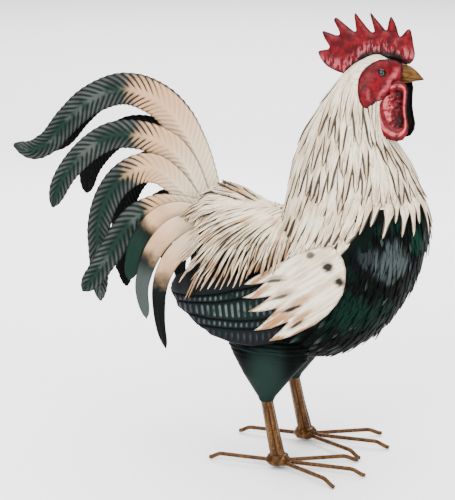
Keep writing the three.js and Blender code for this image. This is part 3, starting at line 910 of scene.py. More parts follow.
def across_and_out(line, outwards_from):
    """For each point of a centre line, the way across the feather and the way out from the bird."""
    tangents = np.gradient(line, axis=0)
    tangents /= np.linalg.norm(tangents, axis=1, keepdims=True)
    sides = np.cross(tangents, outwards_from)
    sides /= np.linalg.norm(sides, axis=1, keepdims=True)
    return sides, np.cross(sides, tangents)


def sickle(name, knots, width, taper, change, paleness, barbed):
    """One feather: rows of points that follow the barbs, so each barb is a crisp fold.

    u runs from -1 to 1 across it, and v from 0 to 1 from root to tip.
    """
    across = 9
    line, length = smooth_line(knots, 400)
    rows_a_barb = 4 if barbed else 2
    rows = int(length / BARB * rows_a_barb)
    sides, outs = across_and_out(line, (0, -1, 0))
    steps = np.linspace(0, 1, len(line))
    u = np.tile(np.linspace(-1, 1, across), rows + 1)
    row = np.repeat(np.arange(rows + 1), across)
    base_v = row / rows
    # Barbs slant towards the tip away from the midrib.
    slant = 0.9 * (width / 2) / length
    v = np.clip(base_v * (1 + slant) - slant * (1 - np.abs(u)), 0, 1)
    shape = np.minimum(1, 0.62 + 1.3 * v) * (1 - taper * v**2.2)
    half = width / 2 * shape * rounded_tip(v, 0.9, 0.01)
    phase = (row % rows_a_barb) / rows_a_barb
    fold = (np.where(phase < 0.5, phase, 1 - phase) * 2) if barbed else np.zeros(len(u))
    edge_bite = 1 - 0.035 * fold * (np.abs(u) > 0.95)
    fade = np.clip((1 - v) / 0.06, 0, 1) * np.clip(v / 0.05, 0, 1)
    # The plate is dished, the barbs are folded in, and the midrib stands out.
    height = 0.10 * half * (1 - np.abs(u) ** 1.3)
    height -= 1.4 * fold * fade * np.clip(np.abs(u) * 6, 0, 1) * np.clip((1.05 - np.abs(u)) * 8, 0.25, 1)
    height += 0.9 * np.exp(-((u * half / 1.3) ** 2))
    centre, side, out = (follow(steps, table, v) for table in (line, sides, outs))
    points = centre + side * (u * half * edge_bite)[:, None] + out * height[:, None]
    piece = sheet_piece(
        name, placed(points), grid_faces(rows + 1, across), barbed_paint if barbed else plain_paint,
        uvs=np.stack([(u + 1) / 2, v / change], 1),
        tone=np.full(len(u), paleness), groove=fold * np.clip(np.abs(u) * 5, 0, 1),
    )
    thicken(piece, 1.1 * MM, inner_black)
    return piece


for number, (knots, width, *rest) in enumerate(SICKLES, 1):
    right = sickle(f"tail_sickle_right_{number}", knots, width, *rest, number <= BARBED_SICKLES)
    if number == 1:
        # The left one of the top pair is a little narrower, so that the right one covers it.
        narrow = sickle("top_sickle_pattern", knots, width - 8, *rest, True)
        left = mirrored_copy(narrow, "tail_sickle_left_1")
        bpy.data.objects.remove(narrow)
    else:
        left = mirrored_copy(right, f"tail_sickle_left_{number}")
    finish_piece(right, "sickle_paint", f"right_tail_sickle_{number}")
    finish_piece(left, "sickle_paint", f"left_tail_sickle_{number}")

# Breast feathers: dark pointed strips over the breast and belly, in rings, each over the one below.
# Thin sheet as on the neck, painted green-black with dry-brushed green and blue-grey.
class Feathers:
    """Collects many feather blades and makes one piece of them."""

    def __init__(self, across, along):
        deselect()
        bpy.ops.mesh.primitive_grid_add(x_subdivisions=across, y_subdivisions=along, size=2)
        blank = bpy.context.object
        self.blank = np.array([v.co[:2] for v in blank.data.vertices])
        self.faces = np.array([p.vertices[:] for p in blank.data.polygons])
        bpy.data.objects.remove(blank)
        self.points = []
        self.quads = []
        self.uvs = []
        self.tones = []
        self.count = 0

    def add(self, centres, normals, half_width, arch, tone, profile):
        """Bends the blank along a centre line. half_width is in metres, profile(v) its share of it."""
        centres = np.array(centres)
        sides, outs = across_and_out(centres, np.array(normals))
        u = self.blank[:, 0]
        v = (self.blank[:, 1] + 1) / 2
        steps = np.linspace(0, 1, len(centres))
        centre, side, out = (follow(steps, table, v) for table in (centres, sides, outs))
        width = half_width * profile(v)
        points = centre + side * (u * width)[:, None]
        points -= out * (arch * u * u * width)[:, None]
        self.points.append(points)
        self.quads.append(self.faces + self.count)
        self.uvs.append(np.stack([(u + 1) / 2, v], 1))
        self.tones.append(np.full(len(u), tone))
        self.count += len(u)

    def mirror(self):
        """Adds the same blades on the other side of the bird."""
        for k in range(len(self.points)):
            self.points.append(self.points[k] * (1, -1, 1))
            self.quads.append(self.quads[k][:, ::-1] + self.count - self.quads[k].min())
            self.uvs.append(self.uvs[k])
            self.tones.append(self.tones[k])
            self.count += len(self.points[k])

    def piece(self, name, finish):
        return sheet_piece(
            name, np.concatenate(self.points), np.concatenate(self.quads), finish, SHEET,
            np.concatenate(self.uvs), tone=np.concatenate(self.tones),
        )


def run_over(skin, start, heading, length, steps, root_lift, tip_lift):
    """A centre line from a place on a skin, along a heading, lifting off towards its tip."""
    here, normal, _, _ = skin.find_nearest(start)
    centres = []
    normals = []
    for step in range(steps + 1):
        share = step / steps
        lift = root_lift + (tip_lift - root_lift) * share
        centres.append(here + normal * lift)
        normals.append(normal)
        way = heading(here)
        way = (way - normal * way.dot(normal)).normalized()
        here, normal, _, _ = skin.find_nearest(here + way * length / steps)
    return centres, normals


chance = random.Random(7)

breast_paint = Paint("breast_green", roughness=0.5, shine=0.025)
breast_tone = breast_paint.attribute("tone")
breast_across, breast_along = breast_paint.over_strip()
breast_brush = breast_paint.joined(breast_across + breast_tone * 41.0, breast_along * 0.45)
breast_strokes = breast_paint.noise(breast_brush, 5.0, 4)
breast_patches = breast_paint.noise(breast_paint.where(), 16, 2)
patch_tone = breast_patches + breast_tone * 0.12
green_patch = patch_tone.ramp(0.6, 0.68) * breast_strokes.ramp(0.38, 0.6)
breast_dark = breast_paint.blend(
    breast_strokes.ramp(0.4, 0.75), (0.0004, 0.0006, 0.0006), (0.0036, 0.0056, 0.0053)
)
breast_touches = [(green_patch, (0.0020, 0.0125, 0.0085))]


def dab(centre, reach):
    """A patch that a brush has touched, about a place, taking in some whole feathers and not others."""
    far = breast_paint.distance(breast_paint.where(), centre) / (reach * MM)
    return (far + breast_tone * 0.5).ramp(1.25, 0.85)


for side in (-1, 1):
    for centre, reach, colour in (
        (place(176, side * 28, 314), 20, (0.0025, 0.0190, 0.0115)),
        (place(110, side * 80, 215), 30, (0.0022, 0.0125, 0.0085)),
        (place(122, side * 82, 300), 15, (0.013, 0.0165, 0.0185)),
        (place(150, side * 62, 290), 30, (0.036, 0.046, 0.048)),
    ):
        breast_touches.append((dab(centre, reach) * breast_strokes.ramp(0.34, 0.5), colour))
pale_tip = breast_along.ramp(0.5, 0.95) * breast_tone.ramp(0.86, 0.93) * breast_strokes.ramp(0.35, 0.6)
dark_edge = abs(breast_across - 0.5).ramp(0.36, 0.5)
breast_touches += [(pale_tip, (0.040, 0.050, 0.047)), (dark_edge * 0.7, (0.0006, 0.0008, 0.0008))]
breast_paint.set("Base Color", breast_paint.over(breast_dark, *breast_touches))
breast_paint.bump(breast_strokes, 0.35, 0.0006)


def pointed_strip(v):
    return np.interp(v, [0, 0.4, 0.8, 1], [1, 1, 0.66, 0.1])


def round_ring(number, ring, count, stray):
    """The angle of a strip in its ring, from the front to the right, and how far from the front it is."""
    angle = 2 * math.pi * (number + 0.5 * (ring % 2) + chance.uniform(-stray, stray)) / count
    return angle, math.degrees(math.acos(math.cos(angle)))


def root_on_body(x, z, angle):
    """Where a look outwards from inside the body meets its skin, or None."""
    return body_skin.ray_cast(place(x, 0, z), Vector((math.cos(angle), -math.sin(angle), 0)))[0]


def breast_heading(here):
    """Down the breast, then back under the belly."""
    low = (here.z - place(0, 0, 150).z) / (150 * MM)
    back = 1.3 - 1.15 * min(1.0, max(0.0, low))
    return Vector((-back, 0, -1))


# Height, then half the body's width and half its depth there.
breast_girth = (
    (148, 25, 31), (160, 46, 52), (178, 63, 72), (200, 75, 84), (245, 87, 98), (300, 89, 99), (350, 84, 93),
)
breast_top = 352
breast_step = 11.5
breast_pitch = 8.2
breast = Feathers(2, 6)
for ring in range(18):
    ring_z = breast_top - ring * breast_step
    half, deep = look_up(breast_girth, ring_z)
    count = round(2 * math.pi * math.sqrt((half * half + deep * deep) / 2) / breast_pitch)
    reach = np.interp(ring_z, [150, 200, 260, 350], [180, 125, 112, 96])
    for number in range(count):
        angle, from_front = round_ring(number, ring, count, 0.15)
        z = ring_z + chance.uniform(-5, 5)
        if from_front > reach or z > np.interp(from_front, [54, 60, 75, 90], [360, 325, 308, 292]):
            continue
        spot = root_on_body(np.interp(z, [150, 245, 330], [31, 62, 84]), z, angle)
        # Above the wings the collars of the neck come down instead.
        if spot is None or (z > 296 and spot.x < place(94, 0, 0).x):
            continue
        length = chance.uniform(30, 42)
        centres, normals = run_over(
            body_skin, spot, breast_heading, length * MM, 6, 0.4 * MM,
            (chance.uniform(2.6, 5.4) + 5 * (chance.random() < 0.08)) * MM,
        )
        # A strip that reaches the wing goes in under its plates.
        for centre in centres:
            x, height = (centre.x - legs_x) / MM, centre.z / MM
            beneath = -float(beside(x, height, 1.8)) * MM
            if x < 101 and 176 < height < 318 and abs(centre.y) > beneath:
                centre.y = math.copysign(beneath, centre.y)
        breast.add(centres, normals, chance.uniform(3.8, 4.8) * MM, 0.15, chance.random(), pointed_strip)
finish_piece(
    breast.piece("breast_feathers", breast_paint),
    "dark_green_paint", *[f"breast_feathers_{row}" for row in range(1, 5)],
)

# Saddle feathers: cream strips that sweep back and down from the back over the tail roots and the flights.
# Thin sheet, curled lengthwise, brushed with tan and brown towards the tips, with painted shade along their
# edges for the dark gaps between them.

# The curve of the back that they lie on: x, then its lowest, highest and half width there.
SADDLE_CURVE = (
    (-185, 250, 306, 38), (-160, 240, 318, 52), (-150, 236, 330, 60), (-128, 220, 352, 75),
    (-105, 200, 365, 85), (-80, 185, 358, 91), (-50, 172, 345, 98), (-15, 160, 337, 102),
    (12, 160, 336, 102), (60, 160, 334, 98),
)


def over_saddle(x, angle, lift):
    """A place on the right of the back, by its x and its angle down from the top, so far off the curve."""
    low, high, half = look_up(SADDLE_CURVE, x)
    if angle > 90:
        # Past the widest place they hang straight down.
        return np.array((x, -(half + lift), (low + high) / 2 - (angle - 90) * 1.2))
    turned = math.radians(angle)
    return np.array((
        x, -(half + lift) * math.sin(turned), (low + high) / 2 + ((high - low) / 2 + lift) * math.cos(turned)
    ))


def cream_strips(name, tan, dark_edge, slit):
    """Cream brushed along each strip, with tan clouds, a browner tip, and painted shade on its edges for the
    dark slits between strips, widening downwards.
    """
    paint = Paint(name, roughness=0.48)
    tone = paint.attribute("tone")
    across, along = paint.over_strip()
    brush = paint.joined(across + tone * 57.0, along * 0.8, tone)
    marks = paint.noise(brush, 4.2, 4)
    streaks = paint.noise(brush, 9.0, 2)
    clouds = paint.noise(paint.where(), 24, 2)
    tanned = (clouds + tone * 0.2).ramp(0.6, 0.8)
    tipped = along.ramp(0.45, 1.0) * marks.ramp(0.62, 0.42)
    worn = along.ramp(0.15, 0.75) * streaks.ramp(0.53, 0.61)
    # Painted shade: the edges are darkened to stand for the shadowed slits between strips, more towards the
    # tips.
    slit_shade_widening = along.ramp(0.12, 0.75) * (tone.ramp(-0.3, 0.9) * slit)
    edge = (abs(across - 0.5) + slit_shade_widening).ramp(0.46, 0.52)
    paint.set("Base Color", paint.over(
        paint.blend(marks.ramp(0.36, 0.62), (0.46, 0.36, 0.24), (0.72, 0.63, 0.475)),
        (tanned * tan, (0.36, 0.21, 0.105)),
        (tipped * tan, (0.22, 0.11, 0.045)),
        (worn * tan, (0.085, 0.055, 0.033)),
        (edge * dark_edge, (0.012, 0.007, 0.004)),
    ))
    paint.bump(marks, 0.25, 0.0006)
    return paint


def curled_strip(v):
    return np.interp(v, [0, 0.3, 0.8, 1], [1.25, 1.05, 0.85, 0.5]) * rounded_tip(v, 0.95, 0.03)


saddle_paint = cream_strips("saddle_cream", 0.95, 0.95, 0.30)
saddle = Feathers(5, 14)
# Each layer: how many strips, their roots, middles and tips as lists of (x, angle), height over the curve
# at the root, how much more at the tip, and half width. The first is the wide sleeve under the others.
saddle_layers = (
    (
        14, ((-88, 1), (-60, 1), (-30, 1), (6, 4)), ((-112, 26), (-84, 30), (-46, 34), (-8, 36)),
        ((-140, 48), (-112, 60), (-70, 66), (-14, 60)), -0.6, 0.3, 9.0,
    ),
    (
        14,
        ((-81, 52), (-70, 50), (-56, 46), (-45, 44), (-32, 43), (-24, 43), (-18, 45), (-11, 45), (-3, 45)),
        (
            (-107, 85), (-97, 95), (-81, 82), (-65, 76), (-52, 71), (-37, 66), (-28, 65), (-20, 63),
            (-11, 58),
        ),
        (
            (-141, 119), (-125, 143), (-108, 131), (-92, 120), (-73, 111), (-55, 99), (-40, 96), (-28, 79),
            (-17, 74),
        ),
        0.2, 3.6, 2.6,
    ),
    (
        13, ((-79, 36), (-64, 37), (-52, 35), (-41, 36), (-31, 36), (-22, 32), (-10, 32)),
        ((-103, 67), (-88, 69), (-72, 66), (-60, 62), (-47, 60), (-32, 53), (-17, 49)),
        ((-142, 98), (-126, 104), (-112, 114), (-88, 103), (-59, 90), (-36, 78), (-18, 70)), 1.2, 3.4, 2.6,
    ),
    (
        8, ((-10, 18), (3, 14), (13, 12), (22, 10), (32, 10)),
        ((-14, 44), (-3, 41), (8, 40), (19, 40), (31, 38)),
        ((-24, 76), (-9, 76), (6, 73), (20, 69), (34, 64)), 0.0, 0.8, 4.2,
    ),
    (
        12, ((-57, 17), (-40, 18), (-29, 17), (-21, 19), (-16, 20), (-12, 22), (-3, 24)),
        ((-87, 42), (-74, 46), (-59, 43), (-44, 41), (-34, 39), (-24, 39), (-13, 40)),
        ((-130, 72), (-117, 79), (-98, 80), (-76, 75), (-58, 66), (-37, 59), (-20, 58)), 2.0, 3.0, 3.1,
    ),
    (
        8, ((-75, 5), (-65, 9), (-56, 11), (-35, 6)), ((-106, 26), (-94, 35), (-84, 36), (-66, 27)),
        ((-148, 33), (-138, 48), (-122, 57), (-98, 56)), 3.0, 2.2, 3.8,
    ),
    (
        6, ((-70, 0), (-44, 1), (-14, 2)), ((-98, 10), (-70, 11), (-44, 10)),
        ((-128, 24), (-108, 24), (-78, 20)), 2.0, 3.6, 4.6,
    ),
    (
        3, ((-66, 0), (-40, 0), (-22, 0)), ((-84, 3), (-62, 4), (-44, 4)), ((-112, 6), (-92, 7), (-68, 7)),
        2.2, 4.0, 4.8,
    ),
)


def spread(knots, share):
    """A place some share of the way along a list of places."""
    knots = np.array(knots, float)
    return follow(range(len(knots)), knots, [share * (len(knots) - 1)])[0]


for count, roots, middles, tips, root_lift, tip_lift, half_width in saddle_layers:
    for number in range(count):
        share = (number + 0.5 + chance.uniform(-0.25, 0.25)) / count
        root, middle, tip = (spread(knots, share) for knots in (roots, middles, tips))
        reach = chance.uniform(0.93, 1.04)
        sleeve = half_width > 6
        bow = 0 if sleeve else chance.uniform(-1.0, 1.6)
        centres = []
        normals = []
        for step in range(15):
            t = step / 14 * reach
            x, angle = root * (1 - t) * (1 - 2 * t) + middle * 4 * t * (1 - t) + tip * t * (2 * t - 1)
            lift = root_lift + tip_lift * t**1.6 + bow * math.sin(math.pi * t)
            here = over_saddle(x, angle, lift)
            centres.append(placed(here))
            normals.append(over_saddle(x, angle, lift + 5) - here)
        half = half_width * chance.uniform(0.88, 1.1) * MM
        saddle.add(centres, normals, half, 0.1 if sleeve else 0.7, chance.random(), curled_strip)
saddle.mirror()
finish_piece(
    saddle.piece("saddle_feathers", saddle_paint),
    "cream_paint", "right_saddle_feathers", "left_saddle_feathers",
)

# Hackle feathers: cream strips on the head and neck, in rings from the crown down to the breast.
# Each ring is cut from thin sheet, slit between the feathers, and tacked on over the ring below it.
# The lowest ring ends in long free fingers over the dark breast and over the top of the wing shields.


def slit_strip(v):
    """Full width to the slit, then narrowing a little to a rounded tip."""
    taper = np.interp(v, [0, 0.55, 0.64, 0.93, 1], [1.12, 1.1, 0.88, 0.6, 0.5])
    return taper * rounded_tip(v, 0.93, 0.02)


def free_finger(v):
    """A lowest feather, slit much higher so that it hangs free of its neighbours."""
    taper = np.interp(v, [0, 0.2, 0.4, 0.9, 1], [1.2, 1.12, 0.72, 0.4, 0.3])
    return taper * rounded_tip(v, 0.93, 0.02)


def neck_axis(z):
    """X of the neck's middle at a height, in millimetres."""
    return float(np.interp(z, [150, 245, 330, 405, 446, 503, 546], [31, 62, 84, 78, 71, 95, 110]))


def cape_end(angle):
    """Height where the lowest neck feathers end, by the angle from the front."""
    return float(
        np.interp(
            angle, [0, 20, 55, 66, 75, 90, 105, 120, 135, 150, 180],
            [328, 330, 330, 314, 302, 284, 278, 280, 300, 316, 340],
        )
    )


def neck_heading(here):
    """Down the neck, sweeping back where it meets the saddle."""
    back = float(np.interp(here.z - here.x * 0.35, [0.2, 0.33], [0.75, 0.0]))
    return Vector((-back, 0, -1))


hackle_paint = cream_strips("hackle_cream", 0.4, 0.95, 0.3)
hackles = Feathers(4, 8)
ring_step = 32
top_ring = 528
ring_count = 7
cape_ring = ring_count - 2
shield_top = (
    (-22, 266), (-8, 274), (4, 283), (20, 291), (34, 300), (55, 308), (79, 313), (88, 305), (98, 275),
)
for ring in range(ring_count):
    ring_z = top_ring - ring * ring_step
    around = 2 * math.pi * float(np.interp(ring_z, [350, 405, 446, 503, 540], [86, 70, 52, 37, 24]))
    pitch = float(np.interp(ring_z, [350, 528], [11.0, 8.4]))
    count = round(around / pitch)
    for number in range(count):
        angle, from_front = round_ring(number, ring, count, 0.16)
        z = ring_z + chance.uniform(-9, 9)
        length = chance.uniform(58, 78)
        if ring > cape_ring and not 70 < from_front < 142:
            continue
        if z - length < cape_end(from_front) - 4 or ring >= cape_ring:
            length = z - cape_end(from_front) + chance.uniform(-10, 10)
        if ring < cape_ring and from_front < 66:
            length = min(length, z - cape_end(from_front) - 28)
        in_face = z > 440 and from_front < np.interp(z, [452, 475, 500, 545], [0, 18, 48, 62])
        if in_face or length < 16:
            continue
        spot = root_on_body(neck_axis(z), z, angle)
        if spot is None:
            continue
        stand = chance.uniform(2.2, 4.2) + (2.5 if ring == cape_ring else 0)
        centres, normals = run_over(
            body_skin, spot, neck_heading, length * MM, 8, (1.2 + 0.2 * (ring % 2)) * MM, stand * MM
        )
        # A strip that reaches the wing shield is drawn in under its top edge.
        for k, centre in enumerate(centres):
            x, height = (centre.x - legs_x) / MM, centre.z / MM
            under = look_up(shield_top, x)[0] + 16 - height
            if -30 < x < 88 and under > 0 and abs(centre.y) > 0.03:
                beneath = -float(beside(x, height, 1.9)) * MM
                share = min(1.0, under / 14) * min(1.0, (88 - x) / 8)
                lift = 1.4 + (stand - 1.4) * k / 8
                skin = abs(centre.y) - (lift * abs(normals[k].y) - 0.5) * MM
                centre.y *= 1 + (max(beneath, skin) / abs(centre.y) - 1) * share
        half_width = 0.6 * pitch * chance.uniform(0.92, 1.08) * MM
        profile = free_finger if ring == cape_ring and from_front < 70 else slit_strip
        hackles.add(centres, normals, half_width, 0.22, chance.random(), profile)
finish_piece(
    hackles.piece("hackle_feathers", hackle_paint),
    "cream_paint", *[f"hackle_collar_{ring}" for ring in range(1, 6)],
)

# Hood and sleeve: the smooth cream sheet over the crown and down the neck, under the rings of feathers.
# Thin sheet beaten over the skull and neck and edged under the face plates.
hood_mesh = bmesh.new()
hood_mesh.from_mesh(body.data)
sleeve_bottom = place(0, 0, 358).z
sleeve_side = place(98, 0, 0).x
face_bottom = place(0, 0, 452).z
hood_front = place(143, 0, 0).x
for face in list(hood_mesh.faces):
    centre = face.calc_center_median()
    lowest = sleeve_bottom if centre.x > sleeve_side else sleeve_bottom - 42 * MM
    if centre.z < lowest or (centre.z > face_bottom and centre.x > hood_front):
        hood_mesh.faces.remove(face)
for vert in [v for v in hood_mesh.verts if not v.link_faces]:
    hood_mesh.verts.remove(vert)
hood_mesh.normal_update()
# The sheet stands a little further off the skull than off the neck.
hood_points = [
    v.co + v.normal * float(np.interp(v.co.z / MM, [470, 500], [0.5, 1.3])) * MM for v in hood_mesh.verts
]
hood_mesh.verts.index_update()
hood_faces = [[v.index for v in f.verts] for f in hood_mesh.faces]
hood_mesh.free()
hood_paint = Paint("hood_cream", roughness=0.48)
hood_streaks = hood_paint.noise(hood_paint.stretched((60, 200, 260)), 1.0, 4)
hood_cream = hood_paint.blend(hood_streaks.ramp(0.38, 0.62), (0.52, 0.42, 0.3), (0.73, 0.645, 0.5))
hood_paint.set("Base Color", hood_cream)
hood_paint.bump(hood_streaks, 0.12)
hood = sheet_piece("hood", hood_points, hood_faces, hood_paint, 0.4 * MM)
finish_piece(hood, "cream_paint")

# Face plates: red sheet beaten over each side of the head, with the ear lobe raised at its lower back.
# Painted red, with a dark line round the edge, a paler lobe and a pink streak running down before the eye.
FACE_EDGE = [
    (146, 536.5), (141, 539.5), (136, 541.3), (127.5, 542.6), (116, 541.4), (107, 537.2), (100, 531.2),
    (95.4, 524.6), (93, 516.3), (93, 507), (94.5, 497), (97, 488.5), (101, 483), (106, 480.8), (110.8, 482),
    (113.8, 486.5), (115, 489.5), (119, 489.5), (126, 493), (134, 501), (144.5, 509.5), (145.5, 524),
    (146, 532),
]


def on_skin(skin, x, z):
    """Y where a skin is met from the right, in millimetres, or None."""
    start = place(x, -200, z)
    spot = skin.ray_cast(start, Vector((0, 1, 0)))[0]
    return None if spot is None else spot.y / MM


def beaten_plate(name, edge, spacing, lift, tone, finish):
    """Sheet laid on the right of the head inside an outline, lifted by lift(x, z, distance from its edge)."""
    flat, faces, from_edge = filled(rounded_edge(edge, spacing * 0.8), spacing)
    points = []
    for (x, z), away in zip(flat, from_edge):
        y = on_skin(body_skin, x, z)
        if y is None or y > -9:
            y = -9
        points.append((x, y - lift(x, z, away), z))
    tones = [tone(x, z) for x, z in flat]
    rim = np.clip(1.5 - from_edge / 1.8, 0, 1)
    for k, (x, z) in enumerate(flat):
        rim[k] = max(rim[k], 0.75 * hill(abs(oval(x, z, LOBE, (8.6, 14.5), 4) - 1), 0.15))
    piece = sheet_piece(name, placed(points), faces, finish, tone=tones, line=rim)
    thicken(piece, 1.4 * MM)
    return piece


def hill(distance, reach):
    """1 at a middle, falling smoothly to 0 at reach."""
    share = min(1.0, distance / reach)
    return 0.5 + 0.5 * math.cos(math.pi * share)


def oval(x, z, centre, reach, lean=0.0):
    """Distance from a centre, as a share of the reach along and across, the oval leaning by degrees."""
    turn_by = math.radians(lean)
    dx, dz = x - centre[0], z - centre[1]
    along = dx * math.cos(turn_by) + dz * math.sin(turn_by)
    over = -dx * math.sin(turn_by) + dz * math.cos(turn_by)
    return math.hypot(along / reach[0], over / reach[1])


EYE = (121.5, 525.5)
LOBE = (105, 495)


def face_lift(x, z, away):
    lobe = hill(oval(x, z, LOBE, (9.5, 16), 4), 1.0)
    socket = hill(abs(oval(x, z, EYE, (8.2, 8.2)) - 1), 0.6)
    brow = hill(oval(x, z, (116, 534), (22, 5), 12), 1.0)
    dent = hill(oval(x, z, EYE, (7, 7)), 1.0)
    dimples = 0.35 * noise.noise(Vector((x, z, 3.0)) * 0.22) + 0.2 * noise.noise(Vector((x, z, 8.0)) * 0.5)
    return 4.2 - 1.0 * math.exp(-away / 1.3) + 2.0 * lobe + 0.8 * socket + 0.7 * brow - 0.9 * dent + dimples


def face_tone(x, z):
    """How pale: the middle of the lobe, and the streak from before the eye down to the wattle."""
    lobe = 0.75 * hill(oval(x, z, (107.5, 498), (3.6, 11), 4), 1.0)
    streak_x = np.interp(z, [490, 500, 509, 519, 529, 535], [119, 123, 128.5, 134, 138.4, 141])
    streak = hill(abs(x - streak_x), np.interp(z, [490, 530], [4.5, 6.5]))
    return max(lobe, streak * float(np.clip((534 - z) / 8, 0, 1)))


face_paint = Paint("face_red", roughness=0.4, shine=0.1)
face_pale = face_paint.attribute("tone")
face_rim = face_paint.attribute("line")
face_cloud = face_paint.noise(face_paint.where(), 120, 3)
face_grain = face_paint.noise(face_paint.where(), 420, 2)
face_paint.set("Base Color", face_paint.over(
    face_paint.blend(face_cloud.ramp(0.35, 0.68), (0.045, 0.0004, 0.002), (0.125, 0.0012, 0.0052)),
    (face_pale * face_cloud.ramp(0.25, 0.6), (0.36, 0.060, 0.075)),
    (face_rim * 0.92, (0.003, 0.0006, 0.0006)),
))
face_paint.bump(face_grain, 0.3, 0.0005)
face_plate = beaten_plate("face", FACE_EDGE, 1.7, face_lift, face_tone, face_paint)
pair(face_plate, "face", "red_paint", "face_plate")

# Eyes: small glossy domes on the face plates, blue-grey round a black pupil, each in a raised dark rim.
eye_paint = Paint("eye_enamel", roughness=0.16, shine=0.35)
eye_out = eye_paint.attribute("tone")
eye_fleck = eye_paint.noise(eye_paint.where(), 900, 2)
eye_paint.set("Base Color", eye_paint.over(
    eye_paint.blend(eye_fleck.ramp(0.35, 0.65), (0.002, 0.003, 0.004), (0.012, 0.019, 0.024)),
    (eye_out.ramp(0.6, 0.52), (0.0005, 0.0005, 0.0006)),
    (eye_out.ramp(0.8, 0.9), (0.003, 0.0008, 0.0009)),
))
eye_y = on_skin(body_skin, *EYE) - 3.1
eye_rings = []
eye_tones = []
eye_angles = all_round(32)
# Radius and depth of each ring of the rim and the dome.
eye_section = [
    (6.0, 1.2), (6.1, -1.0), (5.8, -1.7), (5.2, -1.9), (4.7, -1.6), (4.4, -1.2), (4.1, -1.7), (3.4, -2.4),
    (2.6, -2.9), (1.8, -3.2), (0.9, -3.35), (0.15, -3.4),
]
for radius, rise in eye_section:
    eye_rings.append(np.stack([
        EYE[0] + radius * np.cos(eye_angles),
        0 * eye_angles + eye_y + rise,
        EYE[1] + radius * 0.93 * np.sin(eye_angles),
    ], 1))
    eye_tones.append(np.full_like(eye_angles, radius / 5.2))
pair(tube_piece("eye", eye_rings, eye_paint, eye_tones), "eye", "eye_paint", "eye")

# Beak: gold-brown sheet folded along its top to a point, with the line of the mouth pressed in.
beak_paint = Paint("beak_gold", roughness=0.44, metallic=0.15)
beak_hollow = beak_paint.attribute("tone")
beak_streak = beak_paint.noise(beak_paint.stretched((60, 260, 330), turn=(0, math.radians(14), 0)), 1.0, 3)
beak_paint.set("Base Color", beak_paint.over(
    beak_paint.blend(beak_streak.ramp(0.35, 0.65), (0.045, 0.018, 0.0022), (0.115, 0.05, 0.009)),
    (beak_hollow, (0.010, 0.005, 0.0015)),
))
beak_paint.bump(beak_streak, 0.3, 0.0005)
# Lowest, highest and half width at each x, then the height of the mouth.
beak_knots = (
    (132, 512, 536, 10.5, 521), (139, 512, 536, 10, 520.5), (147, 511.2, 535.4, 9, 519.5),
    (154, 512.8, 532.8, 7.2, 518.3), (161, 514.4, 527.6, 5, 517.6), (166, 515.3, 522.6, 3.1, 517.2),
    (169, 515.8, 519.4, 1.7, 517.0), (170.8, 516.3, 518, 0.7, 517),
)
beak_angles = all_round(48)
beak_rings = []
beak_tones = []
for x in np.concatenate([np.linspace(132, 166, 26), (167.2, 168.4, 169.4, 170.2, 170.8)]):
    low, high, half, mouth = look_up(beak_knots, x)
    middle, tall = (low + high) / 2, (high - low) / 2
    z = middle + tall * np.cos(beak_angles)
    wide = half * np.abs(np.sin(beak_angles)) ** 0.8
    near_mouth = np.exp(-((z - mouth) / 0.7) ** 2) * np.clip((168 - x) / 6, 0, 1)
    y = np.sign(np.sin(beak_angles)) * (wide - 0.9 * near_mouth)
    beak_rings.append(np.stack([0 * z + x, y, z], 1))
    beak_tones.append(np.clip(near_mouth * 0.9 + np.clip((x - 164) / 9, 0, 1) * 0.5, 0, 1))
beak = tube_piece("beak_form", beak_rings, beak_paint, beak_tones)
smooth_by_angle(beak, 32)
finish_piece(beak, "horn_paint", "beak")

# Wattles: two lobes hanging under the beak, each pressed with a fat rim round a pitted hollow.
# Sheet steel, red with a pink rim outside and black inside.
WATTLE_EDGE = [
    (147, 516), (142, 517), (137, 515.5), (128, 509.5), (121, 502), (115.4, 493.5), (111.6, 484),
    (110.6, 474), (111.2, 462.5), (115.4, 452.8), (123.3, 445.6), (132.8, 440.4), (142.2, 438.8),
    (150.4, 441.3), (155.8, 449.6), (157, 458.8), (154.6, 470), (153.2, 481.4), (153.4, 493), (154.2, 504),
    (152, 512),
]
WATTLE_HOLLOW = [
    (147, 504), (138, 504), (130.4, 501.5), (125.4, 496), (122.3, 489), (122.3, 480), (125.4, 471),
    (129.4, 462), (136, 457), (143, 455), (149, 457), (150, 464), (147, 481), (147.5, 496),
]
wattle_flat, wattle_faces, wattle_away = filled(rounded_edge(WATTLE_EDGE, 1.2), 1.5)
hollow_edge = rounded_edge(WATTLE_HOLLOW, 1.2)
hollow_away = from_outline(wattle_flat, hollow_edge)
in_hollow = within(wattle_flat, hollow_edge)
wattle_points = []
wattle_tones = []
for (x, z), away, to_hollow, sunk in zip(wattle_flat, wattle_away, hollow_away, in_hollow):
    y = -12.2 - 6.5 * (515 - z) / 75 - 5.5 * float(np.clip((z - 498) / 16, 0, 1)) ** 2
    if sunk:
        pit = noise.noise(Vector((x, z, 1.0)) * 0.34) + 0.6 * noise.noise(Vector((x, z, 5.0)) * 0.8)
        relief = 0.9 - 2.4 * min(1.0, to_hollow / 3.0) + 1.7 * pit * min(1.0, to_hollow / 2.5)
        tone = 0.85 - 0.07 * (x - 128) + 0.9 * pit
    else:
        across = away / (away + to_hollow + 0.001)
        relief = 0.9 * across + 1.7 * math.sin(math.pi * min(1.0, across)) ** 0.7
        tone = 1.25 * math.sin(math.pi * min(1.0, across)) ** 4
    relief += 0.25 * noise.noise(Vector((x, z, 9.0)) * 0.3)
    wattle_points.append((x, y - relief, z))
    wattle_tones.append(tone)
wattle_paint = Paint("wattle_red", roughness=0.38, shine=0.12)
wattle_pale = wattle_paint.attribute("tone")
wattle_rim = wattle_paint.attribute("line")
wattle_deep = wattle_paint.attribute("deep")
wattle_cloud = wattle_paint.noise(wattle_paint.where(), 170, 3)
